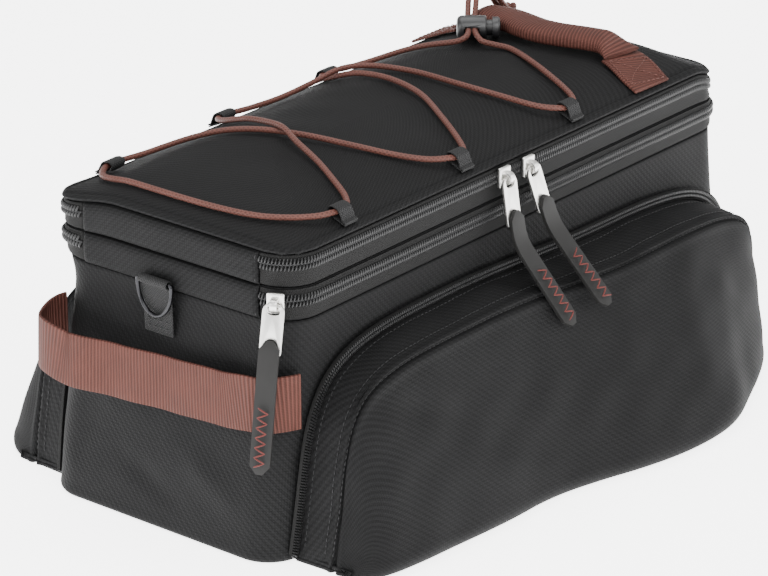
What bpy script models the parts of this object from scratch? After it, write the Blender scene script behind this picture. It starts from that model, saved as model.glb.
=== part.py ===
"""Bicycle trunk bag for a rear carrier, modelled in Blender 4.5 (metres, +Z up).

The bag stands on its flat floor. +X runs along its length, away from the end with the
strap and the D-ring. -Y is the side that the lid's zips open towards, and +Y the far side.
"""
import math

import bmesh
import bpy
from mathutils import Matrix, Vector

# Main sizes of the bag
BAG_X = 0.0040             # the body's middle, so that the slack end strap is inside the centred length
FLOOR_HALF_LENGTH = 0.2040
FLOOR_HALF_WIDTH = 0.0797
FLOOR_CORNER = 0.0220
LID_HALF_LENGTH = 0.1865
LID_HALF_WIDTH = 0.0780
LID_CORNER = 0.0200
BODY_HEIGHT = 0.1280
BAND_HEIGHT = 0.0180       # each of the two zip rims between the body and the lid
LID_EDGE_HEIGHT = 0.0030   # the lid's upright edge above the upper rim
LID_CROWN = 0.0120         # how far the padded lid rises above its edge
CROWN_POWER_LONG = 6.0
CROWN_POWER_WIDE = 3.2
LID_STEPS = (5, 8, 3)      # divisions round a corner, along a long side, along half an end
LID_INSETS = (0.0, 0.03, 0.10, 0.22, 0.40, 0.64, 0.92)  # rings of the lid, as shares of its half width
LID_INNER_CORNER = 0.25    # a ring's corner near the middle, as a share of the width left there
SLOPE_STEP = 0.0005

# Cloth
CLOTH = 0.0020
PADDED_CLOTH = 0.0030
GAP = 0.0003               # between two pieces that are sewn or laid together
SEAT = 0.0006              # more room under a piece that lies on a curved one

# Lid zips
ZIP_TAPE = 0.0008
ZIP_CHAIN_WIDTH = 0.0073
ZIP_CHAIN_RISE = 0.0013
ZIP_CHAIN_FLAT = 0.6       # the flat crest, as a share of the chain's width
ZIP_CHAIN_LEVEL = {"lower": 0.62, "upper": 0.70}  # where a chain runs, as a share of its rim's height
ZIP_TAPE_FOOT = 0.0012     # from a rim's edge to the edge of the tape
ZIP_TAPE_MIDDLE = 0.0008
ZIP_TAPE_TOP = 0.0004
ZIP_END = 0.0585           # where the chains stop, across the end, from its middle
HINGE_PAD = 0.0036
HINGE_EDGE = 0.6           # how thick the hinge pad is at its edges, as a share
HINGE_ROLL = 0.25          # how far its rolled edges reach in, as a share of its height

# Side pockets
POCKET_HALF_LENGTH = 0.1925
POCKET_HEIGHT = 0.1120
POCKET_SEAM_INSET = 0.0010  # the outer panel's seam, in from the zip arch along the bag
POCKET_SEAM_DROP = 0.0135  # and down from the arch's crest
POCKET_GUSSET = 0.0215
POCKET_BELLY = 0.0340
POCKET_TUCK = 0.0096       # height of the roll that turns under at the foot
POCKET_ZIP_WIDTH = 0.0062
POCKET_ZIP_RISE = 0.0026
POCKET_PUFF = 0.0015       # how far the gusset bulges
POCKET_STATIONS = 24
GUSSET_STEPS = 2
BELLY_STEPS = 6
BELLY_POWER = 1.13

# The pocket's outline at its -X and +X ends: how square the arch is, how far its legs lean in
POCKET_ENDS = (
    # zip power, seam power, lean, length left at the seam, floor power
    (6.0, 7.0, 0.09, 1.000, 8.0),
    (6.0, 8.0, 0.02, 0.985, 2.2),
)

# How full the pocket is along its length, as shares of the sizes above
POCKET_FILL = (
    # along, height, gusset, belly
    (-1.00, 1.010, 1.00, 0.88),
    (-0.37, 1.000, 1.05, 1.17),
    (0.39, 0.955, 1.30, 1.80),
    (1.00, 0.925, 1.10, 0.13),
)

# Body walls, as shares from the floor's outline (0) to the lid's outline (1)
BODY_SECTIONS = (
    # height, inset, lean
    (0.000, 1.0, 0.00),
    (0.022, 0.0, 0.02),
    (0.300, 0.0, 0.25),
    (0.620, 0.0, 0.62),
    (0.900, 0.0, 0.93),
    (1.000, 0.0, 1.00),
)
FLOOR_EDGE = 0.0030

# Webbing
HANDLE_X = 0.1220
HANDLE_WIDTH = 0.0300
WEBBING = 0.0018
HANDLE_FLAT = 0.0290       # sewn-down length at each side of the lid
HANDLE_SWAY = 0.0090       # how far the slack handle strays along the bag
HANDLE_INSET = 0.0010      # from the lid's edge to the sewn end
HANDLE_END_STEPS = 5
GRIP_WIDTH = 0.0220
GRIP_THICKNESS = 0.0100
GRIP_RISE = 0.0060         # free height under the middle of the grip
GRIP_REACH = 1.02          # how far the grip runs over its sewn ends
GRIP_ARCH_POWER = 0.8
GRIP_STEPS = 14

# The handle's middle line seen from above, from the near edge to the far one
HANDLE_ROUTE = (
    # across, sway
    (-1.00, 0.00),
    (-0.62, 1.00),
    (-0.05, -0.35),
    (0.35, 0.25),
    (0.70, 0.10),
    (1.00, 0.00),
)
STRAP_WIDTH = 0.0300
STRAP_HEIGHT = 0.0980      # middle of the webbing where it is sewn
STRAP_SEW = 0.1815         # how far along the long sides its ends are sewn
STRAP_SAG = 0.0150
STRAP_SLACK = 0.0150
STRAP_FADE = 0.0120        # how far from its seam the strap leaves the wall
STRAP_STEPS = (8, 1, 6)    # divisions round a corner, along a long side, along half an end

# The slack end strap, from the near corner to the far one
STRAP_ROUTE = (
    # across, slack, sag
    (-1.00, 0.02, 0.75),
    (-0.80, 0.04, 0.85),
    (-0.50, 0.08, 1.00),
    (-0.10, 0.20, 1.05),
    (0.30, 0.48, 1.05),
    (0.65, 0.90, 1.00),
    (0.85, 1.00, 0.80),
    (1.00, 0.85, 0.60),
)

# D-ring and its web
RING_WIDTH = 0.0250
RING_DROP = 0.0190
RING_WIRE = 0.0022
RING_Y = 0.0065
RING_BAR_HEIGHT = 0.1330
RING_WEB_WIDTH = 0.0195
RING_WEB_TAIL = 0.0270
RING_WEB_ROOM = 0.0010     # how much wider the web's eye is than the wire

# Web loops that hold the elastic cord
LOOP_WIDTH = 0.0100
LOOP_INSET = 0.0010        # from the lid's edge to the tail of each loop
LOOP_TAIL = 0.0035
LOOP_EYE_LENGTH = 0.0076
LOOP_EYE_HEIGHT = 0.0046
LOOP_WEB = 0.0010

# Where the loops sit along the lid, as shares of its half length
LOOP_PLACES = (
    # name, side, along
    ("near_1", -1.0, -0.745),
    ("near_2", -1.0, -0.236),
    ("near_3", -1.0, 0.273),
    ("far_1", 1.0, -0.825),
    ("far_2", 1.0, -0.354),
    ("far_3", 1.0, 0.107),
)

# Elastic cord, its lock and its knot
CORD = 0.0032
LOCK_X = 0.0990
LOCK_Y = 0.0290
LOCK_TURN = -51.0          # the barrel's axis seen from above, towards the plunger
LOCK_DIAMETER = 0.0135
LOCK_LENGTH = 0.0165
LOCK_BORE = 0.0094
LOCK_WALL = 0.0020
LOCK_ROUND = 0.0030
LOCK_BEVEL = 0.0008
PLUNGER_DIAMETER = 0.0086
PLUNGER_HEAD = 0.0042
PLUNGER_HEAD_DIAMETER = 0.0120
PLUNGER_HEAD_BEVEL = 0.0010
PLUNGER_TRAVEL = 0.0030
LOCK_SLOT_LENGTH = 0.0086
LOCK_SLOT_HEIGHT = 0.0044
TURNED_STEPS = 20
KNOT_SIZE = (0.0095, 0.0085, 0.0080)
KNOT_PLACE = (0.1640, 0.0520)

# Zip sliders with their pulls
SLIDER_WIDTH = 0.0090
SLIDER_HEIGHT = 0.0110
SLIDER_DEPTH = 0.0024
SLIDER_BEVEL = 0.0008
BAIL_RADIUS = 0.0033
BAIL_THICKNESS = 0.0012
BAIL_WIDTH = 0.0036
BAIL_SINK = 0.0004         # how far the bail's arch is set into the slider
PLATE_WIDTH = 0.0112
PLATE_LENGTH = 0.0270
PLATE_THICKNESS = 0.0015
PLATE_BAR = 0.0016
PLATE_EYE_WIDTH = 0.0068
PLATE_EYE_LENGTH = 0.0044
PLATE_WINDOW_WIDTH = 0.0074
PLATE_WINDOW_LENGTH = 0.0066
PLATE_FOOT = 0.0024
PLATE_SHOULDER = 0.0040
PLATE_FOOT_ROUND = 0.0025
TAB_WIDTH = 0.0105
TAB_THICKNESS = 0.0022
TAB_LENGTH = 0.0690
TAB_OVERLAP = 0.0085
TAB_NECK = 0.0060
TAB_LOOP_WEB = 0.0011
TAB_CURL = 0.0200          # length over which a tab bends below its plate
TAB_TIP = 0.0016           # half width of a tab's blunt ends
TAB_SINK = 0.0006          # how far the neck is set into the strip
TAB_NECK_OVERLAP = 0.0001
TAB_STEPS = 16

# Where each slider sits and how its pull hangs
SLIDERS = (
    # name, chain, along, facing, plate lean beyond the wall's, tab bend, plate sideways, tab sideways
    ("upper_left", "upper", -0.105, 270.0, 9.0, 24.0, 0.0, 12.0),
    ("upper_right", "upper", 0.005, 270.0, 9.0, 27.0, 14.0, -2.0),
    ("lower", "lower", -1.000, 207.0, 3.6, -3.0, -3.0, 0.0),
)
NEAR_SIDE = 270.0          # the facing of a slider on the near long side


def clear_scene():
    for item in list(bpy.data.objects):
        bpy.data.objects.remove(item, do_unlink=True)


def collection(name):
    made = bpy.data.collections.new(name)
    bpy.context.scene.collection.children.link(made)
    return made


clear_scene()
PARTS = collection("trunk_bag")
CUTTERS = collection("cutters")


def material(name, colour, roughness, metallic=0.0):
    made = bpy.data.materials.new(name)
    made.use_nodes = True
    shader = made.node_tree.nodes["Principled BSDF"]
    shader.inputs["Base Color"].default_value = (*colour, 1.0)
    shader.inputs["Roughness"].default_value = roughness
    shader.inputs["Metallic"].default_value = metallic
    made.diffuse_color = (*colour, 1.0)
    return made


def coloured(name, look):
    """A material of its own for one sub-part, from one of the bag's finishes."""
    colour, roughness, metallic = look
    return material(name, colour, roughness, metallic)


FABRIC = ((0.030, 0.030, 0.033), 0.75, 0.0)
ZIP_BLACK = ((0.022, 0.022, 0.022), 0.55, 0.0)
WEB_BLACK = ((0.020, 0.020, 0.021), 0.85, 0.0)
BROWN = ((0.265, 0.095, 0.068), 0.70, 0.0)
PLASTIC = ((0.025, 0.025, 0.027), 0.40, 0.0)
SILVER = ((0.75, 0.74, 0.72), 0.30, 1.0)
GUNMETAL = ((0.35, 0.35, 0.37), 0.30, 1.0)
RUBBER = ((0.055, 0.052, 0.050), 0.65, 0.0)


def add(name, mesh, look, smooth=True):
    made = bpy.data.objects.new(name, mesh)
    PARTS.objects.link(made)
    mesh.materials.clear()
    mesh.materials.append(coloured(name + "_finish", look))
    if smooth:
        mesh.shade_smooth()
        mesh.set_sharp_from_angle(angle=math.radians(40))
    return made


def mesh_from_rows(name, rows, wrap_rows=False, wrap_points=False, caps=()):
    """Quads between neighbouring rows of points. caps holds index loops to close as faces."""
    mesh = bpy.data.meshes.new(name)
    work = bmesh.new()
    grid = [[work.verts.new(point) for point in row] for row in rows]
    row_count = len(grid)
    point_count = len(grid[0])
    for i in range(row_count if wrap_rows else row_count - 1):
        low = grid[i]
        high = grid[(i + 1) % row_count]
        for j in range(point_count if wrap_points else point_count - 1):
            after = (j + 1) % point_count
            work.faces.new((low[j], low[after], high[after], high[j]))
    for cap in caps:
        work.faces.new([grid[i][j] for i, j in cap])
    bmesh.ops.remove_doubles(work, verts=work.verts, dist=0.00002)
    bmesh.ops.dissolve_degenerate(work, edges=work.edges, dist=0.00001)
    bmesh.ops.recalc_face_normals(work, faces=work.faces)
    work.to_mesh(mesh)
    work.free()
    return mesh


def apply_modifiers(item):
    """The evaluated mesh takes the place of the object's own mesh and modifiers."""
    bpy.context.view_layer.update()
    depsgraph = bpy.context.evaluated_depsgraph_get()
    mesh = bpy.data.meshes.new_from_object(item.evaluated_get(depsgraph))
    item.modifiers.clear()
    item.data = mesh


def curve_to_mesh(item, name, look):
    """Welds a curve's caps to its sides and puts a mesh object in its place."""
    bpy.context.view_layer.update()
    depsgraph = bpy.context.evaluated_depsgraph_get()
    mesh = bpy.data.meshes.new_from_object(item.evaluated_get(depsgraph))
    work = bmesh.new()
    work.from_mesh(mesh)
    bmesh.ops.remove_doubles(work, verts=work.verts, dist=0.00001)
    bmesh.ops.recalc_face_normals(work, faces=work.faces)
    work.to_mesh(mesh)
    work.free()
    made = add(name, mesh, look)
    made.matrix_world = item.matrix_world.copy()
    bpy.data.objects.remove(item, do_unlink=True)
    return made


def plate_from_outlines(name, outlines, thickness, look, place=None):
    """A flat outline with its holes, as a filled 2D curve with an extrude of half its thickness."""
    curve = bpy.data.curves.new(name, "CURVE")
    curve.dimensions = "2D"
    curve.fill_mode = "BOTH"
    curve.extrude = thickness / 2
    for outline_points in outlines:
        spline = curve.splines.new("POLY")
        spline.points.add(len(outline_points) - 1)
        for point, (x, y) in zip(spline.points, outline_points):
            point.co = (x, y, 0.0, 1.0)
        spline.use_cyclic_u = True
    item = bpy.data.objects.new(name + "_curve", curve)
    PARTS.objects.link(item)
    item.matrix_world = place if place else Matrix.Identity(4)
    return curve_to_mesh(item, name, look)


def arc(centre, radius, start, end, steps):
    """Points on an arc in degrees. radius may be one value or a pair for an ellipse."""
    across, up = radius if isinstance(radius, tuple) else (radius, radius)
    points = []
    for k in range(steps + 1):
        angle = math.radians(start + (end - start) * k / steps)
        points.append((centre[0] + across * math.cos(angle), centre[1] + up * math.sin(angle)))
    return points


def cut(item, cutter):
    cutter.hide_render = True
    cutter.display_type = "WIRE"
    modifier = item.modifiers.new("cut", "BOOLEAN")
    modifier.operation = "DIFFERENCE"
    modifier.solver = "EXACT"
    modifier.object = cutter


def join(item, other):
    """A Boolean union into one closed body. The second object is removed."""
    modifier = item.modifiers.new("union", "BOOLEAN")
    modifier.operation = "UNION"
    modifier.solver = "EXACT"
    modifier.object = other
    apply_modifiers(item)
    bpy.data.objects.remove(other, do_unlink=True)


def box_mesh(name, size, centre, bevel=0.0):
    mesh = bpy.data.meshes.new(name)
    work = bmesh.new()
    bmesh.ops.create_cube(work, size=1.0)
    bmesh.ops.scale(work, vec=size, verts=work.verts)
    bmesh.ops.translate(work, vec=centre, verts=work.verts)
    if bevel:
        bmesh.ops.bevel(work, geom=work.edges[:], offset=bevel, segments=2, affect="EDGES", profile=0.5)
    work.to_mesh(mesh)
    work.free()
    return mesh


def frame(origin, across, out, up):
    """A placement whose local X, Y and Z are the three directions given."""
    turn = Matrix((across, out, up)).transposed()
    return Matrix.Translation(origin) @ turn.to_4x4()


def between(table, value, column):
    """Reads a column of a table of shares at a place in between, with a smooth step."""
    for low, high in zip(table, table[1:]):
        if value <= high[0]:
            share = max(0.0, (value - low[0]) / (high[0] - low[0]))
            share = share * share * (3.0 - 2.0 * share)
            return low[column] + (high[column] - low[column]) * share
    return table[-1][column]


# Outlines seen from above

def outline(half_length, half_width, radius, corner_steps=5, long_steps=1, short_steps=1):
    """A rounded rectangle from the middle of the -X end, by the near side, round to where it began."""
    points = []
    corners = (
        (-1, -1, 180.0, -half_length, 0.0, short_steps),
        (1, -1, 270.0, -half_length + radius, -half_width, long_steps),
        (1, 1, 0.0, half_length, -half_width + radius, 2 * short_steps),
        (-1, 1, 90.0, half_length - radius, half_width, long_steps),
    )
    for side_x, side_y, start, from_x, from_y, steps in corners:
        centre = (side_x * (half_length - radius), side_y * (half_width - radius))
        bend = arc(centre, radius, start, start + 90.0, corner_steps)
        for k in range(steps):
            share = k / steps
            points.append((from_x + (bend[0][0] - from_x) * share, from_y + (bend[0][1] - from_y) * share))
        points.extend(bend[:-1] if side_y < 0 or side_x > 0 else bend)
    for k in range(1, short_steps):
        points.append((-half_length, (half_width - radius) * (1.0 - k / short_steps)))
    return [(BAG_X + x, y) for x, y in points]


def zip_path(offset):
    """The lid's outline, offset outwards, from one end of a chain to the other."""
    ring = outline(LID_HALF_LENGTH + offset, LID_HALF_WIDTH + offset, LID_CORNER + offset)
    end_x = BAG_X - LID_HALF_LENGTH - offset
    on_end = [abs(x - end_x) < 1e-6 and abs(y) < ZIP_END + 1e-6 for x, y in ring]
    kept = [point for point, drop in zip(ring, on_end) if not drop]
    return [(end_x, -ZIP_END)] + kept + [(end_x, ZIP_END)]


def lid_seam_height():
    return BODY_HEIGHT + 2 * BAND_HEIGHT


def lid_top(x, y):
    """Height of the padded lid above any point of its plan."""
    along = min(1.0, abs(x - BAG_X) / LID_HALF_LENGTH)
    across = min(1.0, abs(y) / LID_HALF_WIDTH)
    puff = (1.0 - along ** CROWN_POWER_LONG) * (1.0 - across ** CROWN_POWER_WIDE)
    return lid_seam_height() + LID_EDGE_HEIGHT + LID_CROWN * puff


def lid_slope(x, y):
    """Unit normal of the padded lid."""
    rise_x = (lid_top(x + SLOPE_STEP, y) - lid_top(x - SLOPE_STEP, y)) / (2 * SLOPE_STEP)
    rise_y = (lid_top(x, y + SLOPE_STEP) - lid_top(x, y - SLOPE_STEP)) / (2 * SLOPE_STEP)
    return Vector((-rise_x, -rise_y, 1.0)).normalized()


def wall_outline(height):
    """Half length, half width and corner of the body's walls at a height."""
    share = height / BODY_HEIGHT
    lean = BODY_SECTIONS[-1][2]
    for low, high in zip(BODY_SECTIONS, BODY_SECTIONS[1:]):
        if share <= high[0]:
            lean = low[2] + (high[2] - low[2]) * (share - low[0]) / (high[0] - low[0])
            break
    half_length = FLOOR_HALF_LENGTH + (LID_HALF_LENGTH - FLOOR_HALF_LENGTH) * lean
    half_width = FLOOR_HALF_WIDTH + (LID_HALF_WIDTH - FLOOR_HALF_WIDTH) * lean
    corner = FLOOR_CORNER + (LID_CORNER - FLOOR_CORNER) * lean
    return half_length, half_width, corner


# Body and lid

def bag_body():
    rows = []
    for height, inset, _ in BODY_SECTIONS:
        half_length, half_width, corner = wall_outline(height * BODY_HEIGHT)
        edge = FLOOR_EDGE * inset
        ring = outline(half_length - edge, half_width - edge, corner - edge)
        rows.append([(x, y, height * (BODY_HEIGHT - GAP)) for x, y in ring])
    floor = [(0, j) for j in range(len(rows[0]))]
    item = add("bag_body", mesh_from_rows("bag_body", rows, wrap_points=True, caps=(floor,)), FABRIC)
    wall = item.modifiers.new("cloth", "SOLIDIFY")
    wall.thickness = CLOTH
    wall.offset = -1.0
    wall.use_even_offset = True
    apply_modifiers(item)
    return item


def rim(name, low, high):
    """A padded rim: one closed band all round, between two heights."""
    profile = ((0.0, low), (0.0, high), (-PADDED_CLOTH, high), (-PADDED_CLOTH, low))
    rows = []
    for out, height in profile:
        ring = outline(LID_HALF_LENGTH + out, LID_HALF_WIDTH + out, LID_CORNER + out)
        rows.append([(x, y, height) for x, y in ring])
    mesh = mesh_from_rows(name, rows, wrap_rows=True, wrap_points=True)
    return add(name, mesh, FABRIC)


def chain_height(which):
    rim_foot = BODY_HEIGHT if which == "lower" else BODY_HEIGHT + BAND_HEIGHT
    return rim_foot + ZIP_CHAIN_LEVEL[which] * BAND_HEIGHT


def lid_zip(name, which, low, high):
    """Tape and chain of one lid zip, round three sides of the bag."""
    middle = chain_height(which)
    half = ZIP_CHAIN_WIDTH / 2
    tape = GAP + ZIP_TAPE
    crest = tape + ZIP_CHAIN_RISE
    profile = (
        (GAP, low), (tape, low), (tape, middle - half), (crest, middle - ZIP_CHAIN_FLAT * half),
        (crest, middle + ZIP_CHAIN_FLAT * half), (tape, middle + half), (tape, high), (GAP, high),
    )
    rows = [[(x, y, height) for x, y in zip_path(out)] for out, height in profile]
    last = len(rows[0]) - 1
    caps = ([(i, 0) for i in range(len(rows))], [(i, last) for i in range(len(rows))])
    return add(name, mesh_from_rows(name, rows, wrap_rows=True, caps=caps), ZIP_BLACK)


def hinge_band(name, low, high):
    """The padded band that hinges the lid at the -X end, between the two ends of a zip."""
    height = high - low
    profile = [(GAP, low), (GAP + HINGE_EDGE * HINGE_PAD, low)]
    profile += [(GAP + HINGE_PAD, low + HINGE_ROLL * height), (GAP + HINGE_PAD, high - HINGE_ROLL * height)]
    profile += [(GAP + HINGE_EDGE * HINGE_PAD, high), (GAP, high)]
    reach = ZIP_END - GAP
    rows = []
    for out, level in profile:
        x = BAG_X - LID_HALF_LENGTH - out
        rows.append([(x, reach * (k / 4.0 - 1.0), level) for k in range(9)])
    caps = ([(i, 0) for i in range(len(rows))], [(i, 8) for i in range(len(rows))])
    return add(name, mesh_from_rows(name, rows, wrap_rows=True, caps=caps), FABRIC)


def rims_and_zips():
    middle = BODY_HEIGHT + BAND_HEIGHT
    top = middle + BAND_HEIGHT
    rim("rim_lower", BODY_HEIGHT, middle - GAP)
    rim("rim_upper", middle, top - GAP)
    lid_zip("zip_lower", "lower", BODY_HEIGHT + ZIP_TAPE_FOOT, middle - ZIP_TAPE_MIDDLE)
    lid_zip("zip_upper", "upper", middle + ZIP_TAPE_MIDDLE, top - ZIP_TAPE_TOP)
    hinge_band("hinge_band_lower", BODY_HEIGHT, middle - GAP)
    hinge_band("hinge_band_upper", middle, top - GAP)


def lid():
    seam = lid_seam_height()
    rows = []
    ring = outline(LID_HALF_LENGTH, LID_HALF_WIDTH, LID_CORNER, *LID_STEPS)
    rows.append([(x, y, seam) for x, y in ring])
    for share in LID_INSETS:
        inset = share * LID_HALF_WIDTH
        corner = max(LID_CORNER - inset, LID_INNER_CORNER * (LID_HALF_WIDTH - inset))
        ring = outline(LID_HALF_LENGTH - inset, LID_HALF_WIDTH - inset, corner, *LID_STEPS)
        rows.append([(x, y, lid_top(x, y)) for x, y in ring])
    crown = [(len(rows) - 1, j) for j in range(len(rows[0]))]
    item = add("lid", mesh_from_rows("lid", rows, wrap_points=True, caps=(crown,)), FABRIC)
    wall = item.modifiers.new("padding", "SOLIDIFY")
    wall.thickness = PADDED_CLOTH
    wall.offset = -1.0
    wall.use_even_offset = False
    apply_modifiers(item)
    return item


# Side pockets

def arch_share(along, power):
    return max(0.0, 1.0 - abs(along) ** power) ** (1.0 / power)


def arch_points(which, half, heights):
    """A squared-off arch on the wall: its x and z at each station. which is 0 at the zip, 1 at the seam."""
    points = []
    for k, height in enumerate(heights):
        turn = math.pi * k / POCKET_STATIONS
        across, up = -math.cos(turn), math.sin(turn)
        end = POCKET_ENDS[1 if across > 0.0 else 0]
        power, lean, length = end[which], end[2], end[3] ** which
        reach = (abs(across) ** power + up ** power) ** (-1.0 / power)
        x = BAG_X + half * length * across * reach * (1.0 - lean * up * reach)
        points.append((x, height * up * reach))
    return points


def pocket_stations():
    """Shares of the half length, closest together at the two ends."""
    return [-math.cos(math.pi * k / POCKET_STATIONS) for k in range(POCKET_STATIONS + 1)]


def wall_side(x):
    """Half width of the floor's outline at x, less round its corners."""
    past = abs(x - BAG_X) - (FLOOR_HALF_LENGTH - FLOOR_CORNER)
    past = min(FLOOR_CORNER, max(0.0, past))
    return FLOOR_HALF_WIDTH - FLOOR_CORNER + math.sqrt(FLOOR_CORNER ** 2 - past ** 2)


def pocket_back(x):
    """How far from the middle line a pocket begins, against the body's wall."""
    return wall_side(x) + GAP


def pocket_surface(shrink):
    """Rows of points from the zip arch, over the gusset and the belly, to the floor and back.

    shrink is how far the surface lies inside the pocket's outer face.
    """
    stations = pocket_stations()
    half = POCKET_HALF_LENGTH - POCKET_ZIP_WIDTH - shrink
    rise = POCKET_ZIP_WIDTH + shrink
    seam_top = POCKET_HEIGHT - POCKET_SEAM_DROP
    root = arch_points(0, half, [POCKET_HEIGHT * between(POCKET_FILL, a, 1) - rise for a in stations])
    seam_heights = [seam_top * between(POCKET_FILL, a, 1) - shrink for a in stations]
    seam = arch_points(1, half - POCKET_SEAM_INSET, seam_heights)
    roots = [pocket_back(x) for x, _ in root]
    outs = [FLOOR_HALF_WIDTH + GAP + between(POCKET_FILL, a, 2) * POCKET_GUSSET - shrink for a in stations]
    rows = []
    for k in range(GUSSET_STEPS + 1):
        share = k / GUSSET_STEPS
        row = []
        for (root_x, root_z), (seam_x, seam_z), back, out in zip(root, seam, roots, outs):
            puff = POCKET_PUFF * math.sin(math.pi * share) * root_z / POCKET_HEIGHT
            z = root_z + (seam_z - root_z) * share + puff
            row.append((root_x + (seam_x - root_x) * share, -back - (out - back) * share, max(z, shrink)))
        rows.append(row)
    for k in range(1, BELLY_STEPS + 1):
        angle = 0.5 * math.pi * k / BELLY_STEPS
        row = []
        for a, (x, seam_z), out in zip(stations, seam, outs):
            floor_power = POCKET_ENDS[1 if a > 0.0 else 0][4]
            belly = between(POCKET_FILL, a, 3) * POCKET_BELLY * arch_share(a, floor_power)
            y = out + belly * math.sin(angle) ** (2.0 / BELLY_POWER)
            z = seam_z * math.cos(angle) ** (2.0 / BELLY_POWER)
            tuck = min(POCKET_TUCK, seam_z)
            near = max(0.0, 1.0 - z / max(GAP, tuck))
            y -= tuck * (1.0 - math.sqrt(1.0 - near ** 2))
            row.append((x, -max(y, pocket_back(x) + shrink), max(z, shrink)))
        rows.append(row)
    edge = [(x, y) for x, y, z in rows[-1]]
    for k in range(1, GUSSET_STEPS + 1):
        share = 1.0 - k / GUSSET_STEPS
        row = []
        for (root_x, _), back, (x, y) in zip(root, roots, edge):
            row.append((root_x + (x - root_x) * share, -back + (y + back) * share, shrink))
        rows.append(row)
    return rows


def pocket(name, side):
    """A hollow pocket, open only towards the body's wall: an outer and an inner face joined by a rim."""
    outer = pocket_surface(0.0)
    inner = pocket_surface(CLOTH)
    rows = outer + inner[::-1]
    rows = [[(x, -side * y, z) for x, y, z in row] for row in rows]
    mesh = mesh_from_rows(name, rows, wrap_rows=True)
    return add(name, mesh, FABRIC)


def pocket_zip(name, side):
    """The zip arch that joins a pocket to the body's wall, as one raised rail."""
    rows = []
    for inset, out in ((0.0, 0.0), (0.0, POCKET_ZIP_RISE), (1.0, POCKET_ZIP_RISE), (1.0, 0.0)):
        width = inset * (POCKET_ZIP_WIDTH - GAP)
        heights = [POCKET_HEIGHT * between(POCKET_FILL, a, 1) - width for a in pocket_stations()]
        arch = arch_points(0, POCKET_HALF_LENGTH - width, heights)
        rows.append([(x, side * (pocket_back(x) + out), z + GAP) for x, z in arch])
    last = len(rows[0]) - 1
    caps = ([(i, 0) for i in range(4)], [(i, last) for i in range(4)])
    return add(name, mesh_from_rows(name, rows, wrap_rows=True, caps=caps), ZIP_BLACK)


# Webbing

def ribbon(name, centres, widths, normals, width, thickness, look, oval=False):
    """A band carried along a path: four corners, or an oval of twelve points, at each place."""
    if oval:
        shape = arc((0.0, 0.0), (width / 2, thickness / 2), 0.0, 330.0, 11)
    else:
        w, t = width / 2, thickness / 2
        shape = [(-w, -t), (w, -t), (w, t), (-w, t)]
    rows = []
    for across, up in shape:
        row = []
        for centre, side, normal in zip(centres, widths, normals):
            row.append(Vector(centre) + Vector(side) * across + Vector(normal) * up)
        rows.append(row)
    last = len(centres) - 1
    caps = ([(i, 0) for i in range(len(rows))], [(i, last) for i in range(len(rows))])
    return add(name, mesh_from_rows(name, rows, wrap_rows=True, caps=caps), look)


def handle_path(share):
    """Middle line of the handle from the near edge (-1) to the far one (1), seen from above."""
    x = HANDLE_X + HANDLE_SWAY * between(HANDLE_ROUTE, share, 1)
    return x, share * (LID_HALF_WIDTH - HANDLE_INSET)


def carry_handle():
    flat_share = 1.0 - HANDLE_FLAT / LID_HALF_WIDTH
    for name, side in (("handle_end_near", -1.0), ("handle_end_far", 1.0)):
        centres, widths, normals = [], [], []
        for k in range(HANDLE_END_STEPS + 1):
            share = side * (1.0 - (1.0 - flat_share) * k / HANDLE_END_STEPS)
            x, y = handle_path(share)
            up = lid_slope(x, y)
            tangent = Vector((1.0, 0.0, 0.0))
            centres.append(Vector((x, y, lid_top(x, y))) + up * (GAP + SEAT + WEBBING / 2))
            widths.append((tangent - up * tangent.dot(up)).normalized())
            normals.append(up)
        ribbon(name, centres, widths, normals, HANDLE_WIDTH, WEBBING, BROWN)
    x_mid, _ = handle_path(0.0)
    end_x, end_y = handle_path(flat_share)
    low = lid_top(end_x, end_y) + SEAT + WEBBING + 3 * GAP + GRIP_THICKNESS / 2
    high = lid_top(x_mid, 0.0) + GRIP_RISE + GRIP_THICKNESS / 2
    centres, widths, normals = [], [], []
    for k in range(GRIP_STEPS + 1):
        across = 2.0 * k / GRIP_STEPS - 1.0
        x, y = handle_path(across * flat_share * GRIP_REACH)
        arch = max(0.0, math.cos(0.5 * math.pi * across)) ** GRIP_ARCH_POWER
        centres.append((x, y, low + (high - low) * arch))
        widths.append((1.0, 0.0, 0.0))
    for k in range(GRIP_STEPS + 1):
        before = Vector(centres[max(k - 1, 0)])
        after = Vector(centres[min(k + 1, GRIP_STEPS)])
        normals.append(Vector((1.0, 0.0, 0.0)).cross((after - before).normalized()))
    ribbon("handle_grip", centres, widths, normals, GRIP_WIDTH, GRIP_THICKNESS, BROWN, oval=True)


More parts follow.
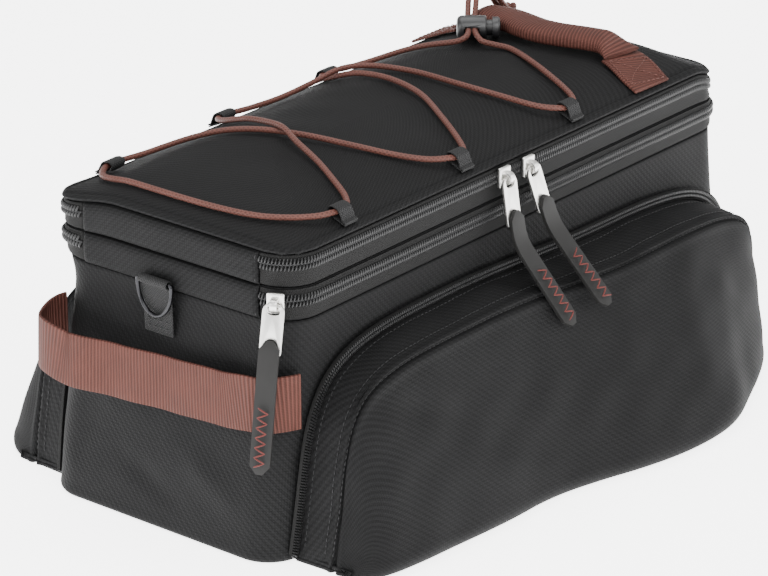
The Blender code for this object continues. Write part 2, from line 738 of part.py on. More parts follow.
def end_strap():
    """Slack webbing from corner to corner across the -X end."""
    base = STRAP_HEIGHT
    half_length, half_width, corner = wall_outline(base - STRAP_SAG - STRAP_WIDTH / 2)
    lift = GAP + SEAT + WEBBING / 2
    ring = outline(half_length + lift, half_width + lift, corner + lift, *STRAP_STEPS)
    middle = [point for point in ring if point[1] < 0 and point[0] < BAG_X - STRAP_SEW]
    near = [(BAG_X - STRAP_SEW, -half_width - lift)] + middle[::-1]
    path = near + [(BAG_X - half_length - lift, 0.0)] + [(x, -y) for x, y in near[::-1]]
    centres, widths, normals = [], [], []
    for k, (x, y) in enumerate(path):
        across = y / half_width
        slack = between(STRAP_ROUTE, across, 1) * STRAP_SLACK
        fade = min(1.0, max(0.0, (BAG_X - STRAP_SEW - x) / STRAP_FADE))
        sag = between(STRAP_ROUTE, across, 2) * STRAP_SAG
        before = Vector(path[max(k - 1, 0)])
        after = Vector(path[min(k + 1, len(path) - 1)])
        along = (after - before).normalized()
        out = Vector((-along.y, along.x))
        push = Vector((x, y)) + out * slack * fade
        centres.append((push.x, push.y, base - sag))
        widths.append((0.0, 0.0, 1.0))
    for k in range(len(centres)):
        before = Vector(centres[max(k - 1, 0)])
        after = Vector(centres[min(k + 1, len(centres) - 1)])
        along = (after - before).normalized()
        normals.append(along.cross(Vector((0.0, 0.0, 1.0))))
    ribbon("end_strap", centres, widths, normals, STRAP_WIDTH, WEBBING, BROWN)


def web_loop(name, place, width, tail, eye_length, eye_height, tail_web):
    """A folded web tab: a flat tail and an eye. Local X runs towards the eye, Y away from the bag."""
    web = LOOP_WEB
    out_length = eye_length / 2 + web
    out_height = eye_height / 2 + web
    centre = (out_length, out_height)
    outer = [(-tail, 0.0), (0.4 * out_length, 0.0)]
    outer += arc(centre, (out_length, out_height), -90.0, 90.0, 8)
    outer += [(-0.1 * out_length, tail_web + 0.25 * eye_height), (-0.6 * tail, tail_web), (-tail, tail_web)]
    hole = arc(centre, (eye_length / 2, eye_height / 2), 0.0, 330.0, 11)
    return plate_from_outlines(name, (outer, hole), width, WEB_BLACK, place)


def cord_loops():
    for name, side, along in LOOP_PLACES:
        x = BAG_X + along * LID_HALF_LENGTH
        y = side * (LID_HALF_WIDTH - LOOP_INSET - LOOP_TAIL)
        up = lid_slope(x, y)
        inward = Vector((0.0, -side, 0.0))
        inward = (inward - up * inward.dot(up)).normalized()
        across = inward.cross(up)
        origin = Vector((x, y, lid_top(x, y))) + up * SEAT
        place = frame(origin, inward, up, across)
        eye = (LOOP_EYE_LENGTH, LOOP_EYE_HEIGHT)
        web_loop("cord_loop_" + name, place, LOOP_WIDTH, LOOP_TAIL, *eye, 2 * LOOP_WEB)


def d_ring():
    """A hanging D of wire and the folded web that holds its straight bar."""
    eye = RING_WIRE + RING_WEB_ROOM
    out_height = eye / 2 + LOOP_WEB
    foot_height = RING_BAR_HEIGHT - out_height - RING_WEB_TAIL
    foot_length, _, _ = wall_outline(foot_height)
    foot = Vector((BAG_X - foot_length - 2 * GAP, RING_Y, foot_height))
    face = BAG_X - LID_HALF_LENGTH - HINGE_PAD - 3 * GAP
    top = Vector((min(face, foot.x), RING_Y, RING_BAR_HEIGHT - out_height))
    rise = (top - foot).normalized()
    side = Vector((0.0, -1.0, 0.0))
    out = side.cross(rise)
    bar_x = (top + rise * out_height + out * out_height).x
    place = frame(top, rise, out, side)
    web_loop("d_ring_web", place, RING_WEB_WIDTH, RING_WEB_TAIL, eye, eye, LOOP_WEB)
    half = RING_WIDTH / 2 - RING_WIRE / 2
    corner = RING_WIRE / 2
    bend = arc((0.0, 0.0), (half, RING_DROP - RING_WIRE), 180.0, 360.0, 10)
    points = [(-half + corner, 2 * corner)] + bend + [(half - corner, 2 * corner)]
    curve = bpy.data.curves.new("d_ring", "CURVE")
    curve.dimensions = "3D"
    curve.bevel_depth = RING_WIRE / 2
    curve.bevel_resolution = 2
    spline = curve.splines.new("POLY")
    spline.points.add(len(points) - 1)
    for point, (across, up) in zip(spline.points, points):
        point.co = (0.0, across, up - 2 * corner, 1.0)
    spline.use_cyclic_u = True
    item = bpy.data.objects.new("d_ring_curve", curve)
    PARTS.objects.link(item)
    item.matrix_world = Matrix.Translation((bar_x, RING_Y, RING_BAR_HEIGHT))
    curve_to_mesh(item, "d_ring", GUNMETAL)


# Elastic cord

# The route over the lid: x, y and the height of the cord's middle above the lid
CORD_ROUTE = (
    (0.1585, 0.0530, 0.0042),
    (0.1520, 0.0527, 0.0090),
    (0.1430, 0.0515, 0.0170),
    (0.1310, 0.0500, 0.0215),
    (0.1190, 0.0460, 0.0195),
    (0.1115, 0.0412, 0.0130),
    (0.1048, 0.0362, 0.0075),
    (0.0978, 0.0305, 0.0071),
    (0.0908, 0.0248, 0.0069),
    (0.0862, 0.0235, 0.0054),
    (0.0820, 0.0270, 0.0036),
    (0.0750, 0.0370, 0.0024),
    (0.0640, 0.0490, 0.0021),
    (0.0490, 0.0595, 0.0022),
    (0.0370, 0.0658, 0.0032),
    (0.0300, 0.0694, 0.0043),
    (0.0240, 0.0706, 0.0043),
    (0.0180, 0.0694, 0.0043),
    (0.0132, 0.0645, 0.0030),
    (0.0130, 0.0560, 0.0022),
    (0.0150, 0.0420, 0.0021),
    (0.0155, 0.0200, 0.0021),
    (0.0070, -0.0080, 0.0021),
    (-0.0120, -0.0380, 0.0021),
    (-0.0260, -0.0600, 0.0028),
    (-0.0340, -0.0694, 0.0043),
    (-0.0400, -0.0706, 0.0043),
    (-0.0460, -0.0694, 0.0043),
    (-0.0560, -0.0630, 0.0028),
    (-0.0665, -0.0500, 0.0021),
    (-0.0745, -0.0280, 0.0021),
    (-0.0800, 0.0030, 0.0021),
    (-0.0900, 0.0300, 0.0021),
    (-0.1080, 0.0530, 0.0021),
    (-0.1320, 0.0655, 0.0031),
    (-0.1438, 0.0694, 0.0043),
    (-0.1500, 0.0706, 0.0043),
    (-0.1560, 0.0693, 0.0043),
    (-0.1640, 0.0630, 0.0028),
    (-0.1685, 0.0510, 0.0022),
    (-0.1705, 0.0220, 0.0022),
    (-0.1700, -0.0150, 0.0022),
    (-0.1665, -0.0410, 0.0022),
    (-0.1590, -0.0560, 0.0024),
    (-0.1490, -0.0660, 0.0034),
    (-0.1410, -0.0696, 0.0043),
    (-0.1350, -0.0706, 0.0043),
    (-0.1290, -0.0693, 0.0043),
    (-0.1215, -0.0620, 0.0028),
    (-0.1140, -0.0490, 0.0021),
    (-0.1030, -0.0290, 0.0022),
    (-0.0925, -0.0060, 0.0038),
    (-0.0850, 0.0100, 0.0058),
    (-0.0790, 0.0270, 0.0036),
    (-0.0755, 0.0460, 0.0021),
    (-0.0730, 0.0600, 0.0026),
    (-0.0682, 0.0693, 0.0043),
    (-0.0620, 0.0706, 0.0043),
    (-0.0560, 0.0694, 0.0043),
    (-0.0430, 0.0660, 0.0030),
    (-0.0230, 0.0635, 0.0022),
    (-0.0020, 0.0590, 0.0036),
    (0.0135, 0.0515, 0.0060),
    (0.0260, 0.0380, 0.0034),
    (0.0325, 0.0150, 0.0021),
    (0.0320, -0.0150, 0.0021),
    (0.0345, -0.0410, 0.0021),
    (0.0405, -0.0600, 0.0028),
    (0.0490, -0.0693, 0.0043),
    (0.0550, -0.0706, 0.0043),
    (0.0610, -0.0693, 0.0043),
    (0.0680, -0.0620, 0.0028),
    (0.0755, -0.0450, 0.0021),
    (0.0860, -0.0220, 0.0021),
    (0.0945, -0.0020, 0.0021),
    (0.0940, 0.0085, 0.0023),
    (0.0905, 0.0150, 0.0040),
    (0.0932, 0.0218, 0.0068),
    (0.1002, 0.0275, 0.0071),
    (0.1072, 0.0332, 0.0074),
    (0.1135, 0.0375, 0.0130),
    (0.1200, 0.0412, 0.0195),
    (0.1320, 0.0455, 0.0220),
    (0.1430, 0.0470, 0.0170),
    (0.1520, 0.0483, 0.0090),
    (0.1585, 0.0490, 0.0042),
)


def elastic_cord():
    points = [Vector((x, y, lid_top(x, y) + lift)) for x, y, lift in CORD_ROUTE]
    curve = bpy.data.curves.new("elastic_cord", "CURVE")
    curve.dimensions = "3D"
    curve.bevel_depth = CORD / 2
    curve.bevel_resolution = 2
    curve.use_fill_caps = True
    spline = curve.splines.new("POLY")
    spline.points.add(len(points) - 1)
    for point, place in zip(spline.points, points):
        point.co = (*place, 1.0)
    item = bpy.data.objects.new("elastic_cord_curve", curve)
    PARTS.objects.link(item)
    curve_to_mesh(item, "elastic_cord", BROWN)


def cord_knot():
    """The knot that ties the two tails of the cord, as one plain round body."""
    mesh = bpy.data.meshes.new("cord_knot")
    work = bmesh.new()
    bmesh.ops.create_uvsphere(work, u_segments=12, v_segments=8, radius=0.5)
    bmesh.ops.scale(work, vec=KNOT_SIZE, verts=work.verts)
    x, y = KNOT_PLACE
    centre = Vector((x, y, lid_top(x, y) + KNOT_SIZE[2] / 2 + GAP))
    bmesh.ops.translate(work, vec=centre, verts=work.verts)
    work.to_mesh(mesh)
    work.free()
    add("cord_knot", mesh, BROWN)


def turned(name, profile, look, place):
    """A profile of radius and height, from its top down, turned about the local Z axis."""
    mesh = bpy.data.meshes.new(name)
    work = bmesh.new()
    verts = [work.verts.new((radius, 0.0, height)) for radius, height in profile]
    for low, high in zip(verts, verts[1:]):
        work.edges.new((low, high))
    work.to_mesh(mesh)
    work.free()
    item = add(name, mesh, look, smooth=False)
    screw = item.modifiers.new("turn", "SCREW")
    screw.axis = "Z"
    screw.steps = TURNED_STEPS
    screw.render_steps = TURNED_STEPS
    screw.use_merge_vertices = True
    screw.merge_threshold = 0.00001
    item.matrix_world = place
    return item


def cord_lock():
    """A spring cord lock lying on the lid: a barrel with a cross slot, and its plunger."""
    turn = math.radians(LOCK_TURN)
    axis = Vector((math.cos(turn), math.sin(turn), 0.0))
    away = Vector((-axis.y, axis.x, 0.0))
    centre = Vector((LOCK_X, LOCK_Y, lid_top(LOCK_X, LOCK_Y) + LOCK_DIAMETER / 2 + GAP))
    place = frame(centre, away, Vector((0.0, 0.0, 1.0)), axis)
    radius = LOCK_DIAMETER / 2
    bore = LOCK_BORE / 2
    rim_end = LOCK_LENGTH / 2
    closed_end = -LOCK_LENGTH / 2
    bend = arc((radius - LOCK_ROUND, closed_end + LOCK_ROUND), LOCK_ROUND, 0.0, -90.0, 4)
    profile = [(0.0, closed_end + LOCK_WALL), (bore, closed_end + LOCK_WALL), (bore, rim_end)]
    profile += [(radius - LOCK_BEVEL, rim_end), (radius, rim_end - LOCK_BEVEL)] + bend + [(0.0, closed_end)]
    barrel = turned("cord_lock_barrel", profile, PLASTIC, place)
    slot = box_mesh("slot", (2 * LOCK_DIAMETER, LOCK_SLOT_HEIGHT, LOCK_SLOT_LENGTH), (0.0, 0.0, 0.0))
    cutter = bpy.data.objects.new("lock_slot_cutter", slot)
    CUTTERS.objects.link(cutter)
    cutter.matrix_world = place
    cut(barrel, cutter)
    apply_modifiers(barrel)
    stem = PLUNGER_DIAMETER / 2
    head = PLUNGER_HEAD_DIAMETER / 2
    inner_end = closed_end + LOCK_WALL + PLUNGER_TRAVEL + GAP
    head_low = rim_end + PLUNGER_TRAVEL + GAP
    head_high = head_low + PLUNGER_HEAD
    bevel = PLUNGER_HEAD_BEVEL
    profile = [(0.0, head_high), (head - bevel, head_high), (head, head_high - bevel), (head, head_low)]
    profile += [(stem, head_low), (stem, inner_end), (0.0, inner_end)]
    plunger = turned("cord_lock_plunger", profile, PLASTIC, place)
    size = (2 * LOCK_DIAMETER, LOCK_SLOT_HEIGHT + GAP, LOCK_SLOT_LENGTH + PLUNGER_TRAVEL)
    window = box_mesh("window", size, (0.0, 0.0, PLUNGER_TRAVEL / 2))
    cutter = bpy.data.objects.new("plunger_window_cutter", window)
    CUTTERS.objects.link(cutter)
    cutter.matrix_world = place
    cut(plunger, cutter)
    apply_modifiers(plunger)
    for item in (barrel, plunger):
        item.data.shade_smooth()
        item.data.set_sharp_from_angle(angle=math.radians(40))


# Zip sliders and their pulls

def slider_place(chain, along, facing):
    """The point on the chain's crest where a slider sits, with its directions along, out and up."""
    turn = math.radians(facing)
    out = Vector((math.cos(turn), math.sin(turn), 0.0))
    up = Vector((0.0, 0.0, 1.0))
    if facing == NEAR_SIDE:
        base = Vector((BAG_X + along * LID_HALF_LENGTH, -LID_HALF_WIDTH, chain_height(chain)))
    else:
        middle_x = BAG_X + along * (LID_HALF_LENGTH - LID_CORNER)
        middle_y = -(LID_HALF_WIDTH - LID_CORNER)
        base = Vector((middle_x, middle_y, chain_height(chain))) + out * LID_CORNER
    origin = base + out * (2 * GAP + ZIP_TAPE + ZIP_CHAIN_RISE)
    return origin, out.cross(up), out, up


def wall_lean(facing):
    """How far the wall under a slider leans out towards the floor, in degrees."""
    if facing == NEAR_SIDE:
        return 0.0
    return math.degrees(math.atan((FLOOR_HALF_LENGTH - LID_HALF_LENGTH) / BODY_HEIGHT))


def bail_centre():
    return SLIDER_DEPTH + BAIL_RADIUS - BAIL_THICKNESS - BAIL_SINK


def slider_body(name, place):
    """The slider's wing with its bail, an arch from top to bottom that the pull hangs in."""
    size = (SLIDER_WIDTH, SLIDER_DEPTH, SLIDER_HEIGHT)
    mesh = box_mesh(name, size, (0.0, SLIDER_DEPTH / 2, 0.0), SLIDER_BEVEL)
    body = add(name, mesh, SILVER)
    out = bail_centre()
    inner = BAIL_RADIUS - BAIL_THICKNESS
    root = 0.5 * SLIDER_DEPTH
    shape = [(root, -BAIL_RADIUS)] + arc((out, 0.0), BAIL_RADIUS, -90.0, 90.0, 10) + [(root, BAIL_RADIUS)]
    shape += [(root, inner)] + arc((out, 0.0), inner, 90.0, -90.0, 10) + [(root, -inner)]
    turn = Matrix(((0.0, 0.0, 1.0), (1.0, 0.0, 0.0), (0.0, 1.0, 0.0))).to_4x4()
    bail = plate_from_outlines(name + "_bail", (shape,), BAIL_WIDTH, SILVER, turn)
    join(body, bail)
    body.matrix_world = place
    return body


def pull_plate(name, place):
    """A flat pull with a bar in the bail at its top, and a window for the tab at its foot."""
    half = PLATE_WIDTH / 2
    bar = PLATE_BAR / 2
    foot = -PLATE_LENGTH + bar
    shoulder = PLATE_SHOULDER
    toe = PLATE_FOOT_ROUND
    outer = [(-half + shoulder, bar), (half - shoulder, bar)]
    outer += arc((half - shoulder, bar - shoulder), shoulder, 60.0, 0.0, 4)
    outer += arc((half - toe, foot + toe), toe, 0.0, -90.0, 4)
    outer += arc((-half + toe, foot + toe), toe, 270.0, 180.0, 4)
    outer += arc((-half + shoulder, bar - shoulder), shoulder, 180.0, 120.0, 4)
    eye = PLATE_EYE_WIDTH / 2
    low = -bar - PLATE_EYE_LENGTH
    hole = [(-eye, -bar), (-eye, low + eye * 0.5)]
    hole += arc((0.0, low + eye * 0.5), (eye, eye * 0.5), 180.0, 360.0, 8)[1:] + [(eye, -bar)]
    wide = PLATE_WINDOW_WIDTH / 2
    sill = foot + PLATE_FOOT
    window = [(wide, sill), (wide, sill + PLATE_WINDOW_LENGTH - wide)]
    window += arc((0.0, sill + PLATE_WINDOW_LENGTH - wide), wide, 0.0, 180.0, 8)[1:] + [(-wide, sill)]
    return plate_from_outlines(name, (outer, hole, window), PLATE_THICKNESS, SILVER, place)


def pull_tab(name, origin, across, down, normal, bend, sideways):
    """A rubbery strip with round ends, folded round the plate's foot by a narrow neck."""
    front = PLATE_THICKNESS / 2 + GAP
    foot = PLATE_LENGTH - PLATE_BAR / 2
    start = foot - TAB_OVERLAP
    centres, widths, normals = [], [], []
    place = origin + down * start + normal * (front + TAB_THICKNESS / 2)
    length = 0.0
    for k in range(TAB_STEPS + 1):
        travelled = TAB_LENGTH * k / TAB_STEPS
        curl = min(1.0, max(0.0, (travelled - TAB_OVERLAP) / TAB_CURL))
        curl = curl * curl * (3.0 - 2.0 * curl)
        turn = Matrix.Rotation(math.radians(bend * curl), 3, across)
        sway = Matrix.Rotation(math.radians(sideways * curl), 3, normal)
        heading = sway @ (turn @ down)
        side = sway @ across
        place = place + heading * (travelled - length)
        length = travelled
        end = min(travelled, TAB_LENGTH - travelled)
        half = TAB_WIDTH / 2
        if end < half:
            half = math.sqrt(max(0.0, half * half - (half - end) ** 2))
        centres.append(place)
        widths.append(side * max(half, TAB_TIP) * 2.0 / TAB_WIDTH)
        normals.append(side.cross(heading))
    strip = ribbon(name, centres, widths, normals, TAB_WIDTH, TAB_THICKNESS, RUBBER)
    sill = foot - PLATE_FOOT
    back = -PLATE_THICKNESS / 2 - GAP
    web = TAB_LOOP_WEB
    outer = [(sill - GAP - web, back - web), (foot + GAP + web, back - web),
             (foot + GAP + web, front + TAB_SINK), (sill - GAP - web, front + TAB_SINK)]
    level = front - TAB_NECK_OVERLAP
    hole = [(sill - GAP, back), (sill - GAP, level), (foot + GAP, level), (foot + GAP, back)]
    turn = frame(origin, down, normal, down.cross(normal))
    neck = plate_from_outlines(name + "_neck", (outer, hole), TAB_NECK, RUBBER, turn)
    join(strip, neck)
    return strip


def move_origin(item, point):
    """Puts an object's origin on its joint's axis, with the shape where it was."""
    shift = Matrix.Translation(point)
    item.data.transform(shift.inverted() @ item.matrix_world)
    item.matrix_world = shift


def sliders():
    for name, chain, along, facing, lean, bend, sideways, tab_sideways in SLIDERS:
        origin, tangent, out, up = slider_place(chain, along, facing)
        slider_body("slider_" + name, frame(origin, tangent, out, up))
        axis_point = origin + out * bail_centre()
        tilt = Matrix.Rotation(math.radians(lean + wall_lean(facing)), 3, tangent)
        normal = tilt @ out
        down = tilt @ -up
        sway = Matrix.Rotation(math.radians(sideways), 3, normal)
        across = sway @ tangent
        down = sway @ down
        plate = pull_plate("pull_plate_" + name, frame(axis_point, across, -down, across.cross(-down)))
        tab = pull_tab("pull_tab_" + name, axis_point, across, down, normal, bend, tab_sideways)
        for item in (plate, tab):
            move_origin(item, axis_point)


def main():
    bag_body()
    rims_and_zips()
    lid()
    pocket("pocket_near", -1.0)
    pocket("pocket_far", 1.0)
    pocket_zip("pocket_zip_near", -1.0)
    pocket_zip("pocket_zip_far", 1.0)
    carry_handle()
    end_strap()
    cord_loops()
    d_ring()
    elastic_cord()
    cord_knot()
    cord_lock()
    sliders()


main()
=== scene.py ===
"""Looks of a bicycle trunk bag: cloth shells, zips, webbing, elastic lacing and metal pulls.

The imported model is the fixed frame. Each soft solid in it is replaced by a finer surface,
and the hard ones keep their shape under new finishes. Metres, +Z up.
"""

import math

import bmesh
import bpy
import numpy as np
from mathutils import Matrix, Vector


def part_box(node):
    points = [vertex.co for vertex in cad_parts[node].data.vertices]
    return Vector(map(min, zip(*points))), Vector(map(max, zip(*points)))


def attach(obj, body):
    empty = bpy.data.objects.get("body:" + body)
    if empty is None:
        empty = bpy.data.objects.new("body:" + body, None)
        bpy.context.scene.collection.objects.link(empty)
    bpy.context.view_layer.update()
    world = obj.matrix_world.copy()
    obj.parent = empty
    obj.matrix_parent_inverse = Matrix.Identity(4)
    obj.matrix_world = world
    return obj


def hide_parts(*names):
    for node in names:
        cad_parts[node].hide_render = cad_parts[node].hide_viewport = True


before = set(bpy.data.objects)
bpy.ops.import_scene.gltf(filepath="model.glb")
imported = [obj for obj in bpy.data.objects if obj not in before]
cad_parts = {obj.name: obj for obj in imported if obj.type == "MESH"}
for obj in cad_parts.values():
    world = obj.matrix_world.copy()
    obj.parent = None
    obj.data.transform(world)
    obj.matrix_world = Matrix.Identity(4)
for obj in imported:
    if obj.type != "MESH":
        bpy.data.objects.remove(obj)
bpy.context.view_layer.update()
BAG = "bag"

# Sizes that the looks share with the solids
LID_LOW, LID_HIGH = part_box("lid")
BODY_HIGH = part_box("bag_body")[1]
BAG_X = (LID_LOW.x + LID_HIGH.x) / 2
LID_LENGTH = LID_HIGH.x - BAG_X       # half of the lid's length
LID_WIDTH = LID_HIGH.y                # half of its width
LID_CORNER = 0.0200
FLOOR_LENGTH = BODY_HIGH.x - BAG_X
FLOOR_WIDTH = BODY_HIGH.y
FLOOR_CORNER = 0.0220
FLOOR_ROLL = 0.0030                   # radius between floor and walls
BODY_HEIGHT = 0.1280
BAND_HEIGHT = 0.0180
LID_SEAM = BODY_HEIGHT + 2 * BAND_HEIGHT
LID_EDGE = 0.0030
LID_CROWN = 0.0120
CROWN_LONG = 6.0
CROWN_WIDE = 3.2
CLOTH = 0.0020
PADDING = 0.0030
WEBBING = 0.0018
CORD = 0.0032

# Body walls, from the floor's outline (0) to the lid's outline (1)
WALL = (
    # share of the height, share of the way
    (0.000, 0.00),
    (0.022, 0.02),
    (0.300, 0.25),
    (0.620, 0.62),
    (0.900, 0.93),
    (1.000, 1.00),
)

# Pockets
GAP = 0.0003
POCKET_LENGTH = 0.1925
POCKET_HEIGHT = 0.1120
SEAM_INSET = 0.0010
SEAM_DROP = 0.0135
GUSSET = 0.0215
GUSSET_PUFF = 0.0015
BELLY = 0.0340
BELLY_POWER = 1.13
TUCK = 0.0096
POCKET_ZIP = 0.0062
POCKET_ENDS = (
    # zip power, seam power, lean, length left at the seam, floor power
    (6.0, 7.0, 0.09, 1.000, 8.0),
    (6.0, 8.0, 0.02, 0.985, 2.2),
)
POCKET_FILL = (
    # along, height, gusset, belly
    (-1.00, 1.010, 1.00, 0.88),
    (-0.37, 1.000, 1.05, 1.17),
    (0.39, 0.955, 1.30, 1.80),
    (1.00, 0.925, 1.10, 0.13),
)

# Zips
ZIP_END = 0.0585
LID_COIL = {"pitch": 0.00176, "half": 0.00365, "rise": 0.0013, "wire": 0.00062}
POCKET_COIL = {"pitch": 0.00150, "half": 0.00260, "rise": 0.0010, "wire": 0.00050}

# Webbing
STRAP_WIDTH = 0.0300
STRAP_HEIGHT = 0.0980
STRAP_SEW = 0.1815
STRAP_SAG = 0.0150
STRAP_SLACK = 0.0150
STRAP_ROUTE = (
    # across, slack, sag
    (-1.00, 0.02, 0.75),
    (-0.80, 0.04, 0.85),
    (-0.50, 0.08, 1.00),
    (-0.10, 0.20, 1.05),
    (0.30, 0.48, 1.05),
    (0.65, 0.90, 1.00),
    (0.85, 1.00, 0.80),
    (1.00, 0.85, 0.60),
)
HANDLE_X = 0.1220
HANDLE_WIDTH = 0.0300
HANDLE_FLAT = 0.0290
HANDLE_SWAY = 0.0090
GRIP_WIDTH = 0.0220
GRIP_THICKNESS = 0.0100
GRIP_RISE = 0.0020
HANDLE_ROUTE = (
    # across, sway
    (-1.00, 0.00),
    (-0.62, 1.00),
    (-0.05, -0.35),
    (0.35, 0.25),
    (0.70, 0.10),
    (1.00, 0.00),
)

# The cord's route over the lid in millimetres: x, y and the height of its middle above the lid
CORD_ROUTE = (
    (158.5, 53.0, 4.2), (152.0, 52.7, 9.0), (143.0, 51.5, 17.0), (131.0, 50.0, 21.5),
    (119.0, 46.0, 19.5), (111.5, 41.2, 13.0), (104.8, 36.2, 7.5), (97.8, 30.5, 7.1),
    (90.8, 24.8, 6.9), (86.2, 23.5, 5.4), (82.0, 27.0, 3.6), (75.0, 37.0, 2.4),
    (64.0, 49.0, 2.1), (49.0, 59.5, 2.2), (37.0, 65.8, 3.2), (30.0, 69.4, 4.3),
    (24.0, 70.6, 4.3), (18.0, 69.4, 4.3), (13.2, 64.5, 3.0), (13.0, 56.0, 2.2),
    (15.0, 42.0, 2.1), (15.5, 20.0, 2.1), (7.0, -8.0, 2.1), (-12.0, -38.0, 2.1),
    (-26.0, -60.0, 2.8), (-34.0, -69.4, 4.3), (-40.0, -70.6, 4.3), (-46.0, -69.4, 4.3),
    (-56.0, -63.0, 2.8), (-66.5, -50.0, 2.1), (-74.5, -28.0, 2.1), (-80.0, 3.0, 2.1),
    (-90.0, 30.0, 2.1), (-108.0, 53.0, 2.1), (-132.0, 65.5, 3.1), (-143.8, 69.4, 4.3),
    (-150.0, 70.6, 4.3), (-156.0, 69.3, 4.3), (-164.0, 63.0, 2.8), (-168.5, 51.0, 2.2),
    (-170.5, 22.0, 2.2), (-170.0, -15.0, 2.2), (-166.5, -41.0, 2.2), (-159.0, -56.0, 2.4),
    (-149.0, -66.0, 3.4), (-141.0, -69.6, 4.3), (-135.0, -70.6, 4.3), (-129.0, -69.3, 4.3),
    (-121.5, -62.0, 2.8), (-114.0, -49.0, 2.1), (-103.0, -29.0, 2.2), (-92.5, -6.0, 3.8),
    (-85.0, 10.0, 5.8), (-79.0, 27.0, 3.6), (-75.5, 46.0, 2.1), (-73.0, 60.0, 2.6),
    (-68.2, 69.3, 4.3), (-62.0, 70.6, 4.3), (-56.0, 69.4, 4.3), (-43.0, 66.0, 3.0),
    (-23.0, 63.5, 2.2), (-2.0, 59.0, 3.6), (13.5, 51.5, 6.0), (26.0, 38.0, 3.4),
    (32.5, 15.0, 2.1), (32.0, -15.0, 2.1), (34.5, -41.0, 2.1), (40.5, -60.0, 2.8),
    (49.0, -69.3, 4.3), (55.0, -70.6, 4.3), (61.0, -69.3, 4.3), (68.0, -62.0, 2.8),
    (75.5, -45.0, 2.1), (86.0, -22.0, 2.1), (94.5, -2.0, 2.1), (94.0, 8.5, 2.3),
    (90.5, 15.0, 4.0), (93.2, 21.8, 6.8), (100.2, 27.5, 7.1), (107.2, 33.2, 7.4),
    (113.5, 37.5, 13.0), (120.0, 41.2, 19.5), (132.0, 45.5, 22.0), (143.0, 47.0, 17.0),
    (152.0, 48.3, 9.0), (158.5, 49.0, 4.2),
)


# Arrays: rows of points and what is worked out from them

def unit(vectors):
    """Vectors scaled to a length of one."""
    return vectors / np.maximum(np.linalg.norm(vectors, axis=-1, keepdims=True), 1e-12)


def ease(share):
    """3t^2 - 2t^3, clipped to 0 and 1."""
    share = np.clip(share, 0.0, 1.0)
    return share * share * (3.0 - 2.0 * share)


def from_table(table, at, column):
    """One column of a table read at any place, easing from each row to the next."""
    rows = np.array(table, float)
    at = np.asarray(at, float)
    low = np.clip(np.searchsorted(rows[:, 0], at) - 1, 0, len(rows) - 2)
    start, end = rows[low], rows[low + 1]
    share = ease((at - start[..., 0]) / (end[..., 0] - start[..., 0]))
    return start[..., column] + (end[..., column] - start[..., column]) * share


def travelled(path):
    """Length along a path up to each of its points."""
    steps = np.linalg.norm(np.diff(path, axis=0), axis=1)
    return np.concatenate(([0.0], np.cumsum(steps)))


def evenly(path, count):
    """The same path with count points at equal steps."""
    length = travelled(path)
    at = np.linspace(0.0, length[-1], count)
    return np.stack([np.interp(at, length, path[:, k]) for k in range(path.shape[1])], axis=1)


def rounded_through(points, steps):
    """A Catmull-Rom curve through the points, each span cut into the same number of steps."""
    points = np.asarray(points, float)
    before, after = 2 * points[:1] - points[1:2], 2 * points[-1:] - points[-2:-1]
    padded = np.concatenate((before, points, after))
    a, b, c, d = (padded[k:len(padded) - 3 + k][:, None] for k in range(4))
    t = (np.arange(steps) / steps)[None, :, None]
    square, cube = 2 * a - 5 * b + 4 * c - d, 3 * b - a - 3 * c + d
    curve = 0.5 * (2 * b + (c - a) * t + square * t ** 2 + cube * t ** 3)
    return np.concatenate((curve.reshape(-1, points.shape[1]), points[-1:]))


def heading(path):
    """Unit tangents of a path, by central differences."""
    return unit(np.gradient(path, axis=0))


def square_to(directions, tangents):
    """Directions with their part along the tangents taken out."""
    return unit(directions - tangents * np.sum(directions * tangents, axis=-1, keepdims=True))


def places_on(path, outward, at):
    """Points, unit tangents and outward directions at given lengths along a path."""
    run = travelled(path)
    outward = np.broadcast_to(outward, path.shape)
    place, tangent, out = (np.stack([np.interp(at, run, values[:, k]) for k in range(3)], axis=1)
                           for values in (path, heading(path), outward))
    tangent = unit(tangent)
    return place, tangent, square_to(out, tangent)


def grid_normals(points):
    """Unit normals of a grid: the cross product of its two gradients."""
    return unit(np.cross(np.gradient(points, axis=0), np.gradient(points, axis=1)))


def rumple(points, seed, size, count=9):
    """Soft unevenness from -1 to 1: a sum of sine waves in seeded directions, about size metres long."""
    rng = np.random.default_rng(seed)
    waves = unit(rng.normal(size=(count, 3))) * (2 * math.pi / size) * rng.uniform(0.6, 1.5, (count, 1))
    phase = rng.uniform(0.0, 2 * math.pi, count)
    return np.sin(points @ waves.T + phase).sum(axis=-1) / count ** 0.5 / 1.6


def creases(points, table):
    """Long soft folds. Each row gives a start, an end, a width and a height in millimetres.

    The height falls off with the square of the distance from the fold's line, as exp(-(d / width)^2).
    """
    total = np.zeros(points.shape[:-1])
    for start, end, width, height in table:
        start, end = np.array(start) / 1000, np.array(end) / 1000
        line = end - start
        share = np.clip((points - start) @ line / (line @ line), 0.0, 1.0)
        distance = np.linalg.norm(points - start - share[..., None] * line, axis=-1)
        fade = np.sin(math.pi * share * 0.9 + 0.16)
        total += height / 1000 * np.exp(-(distance * 1000 / width) ** 2) * fade
    return total


# Shapes seen from above

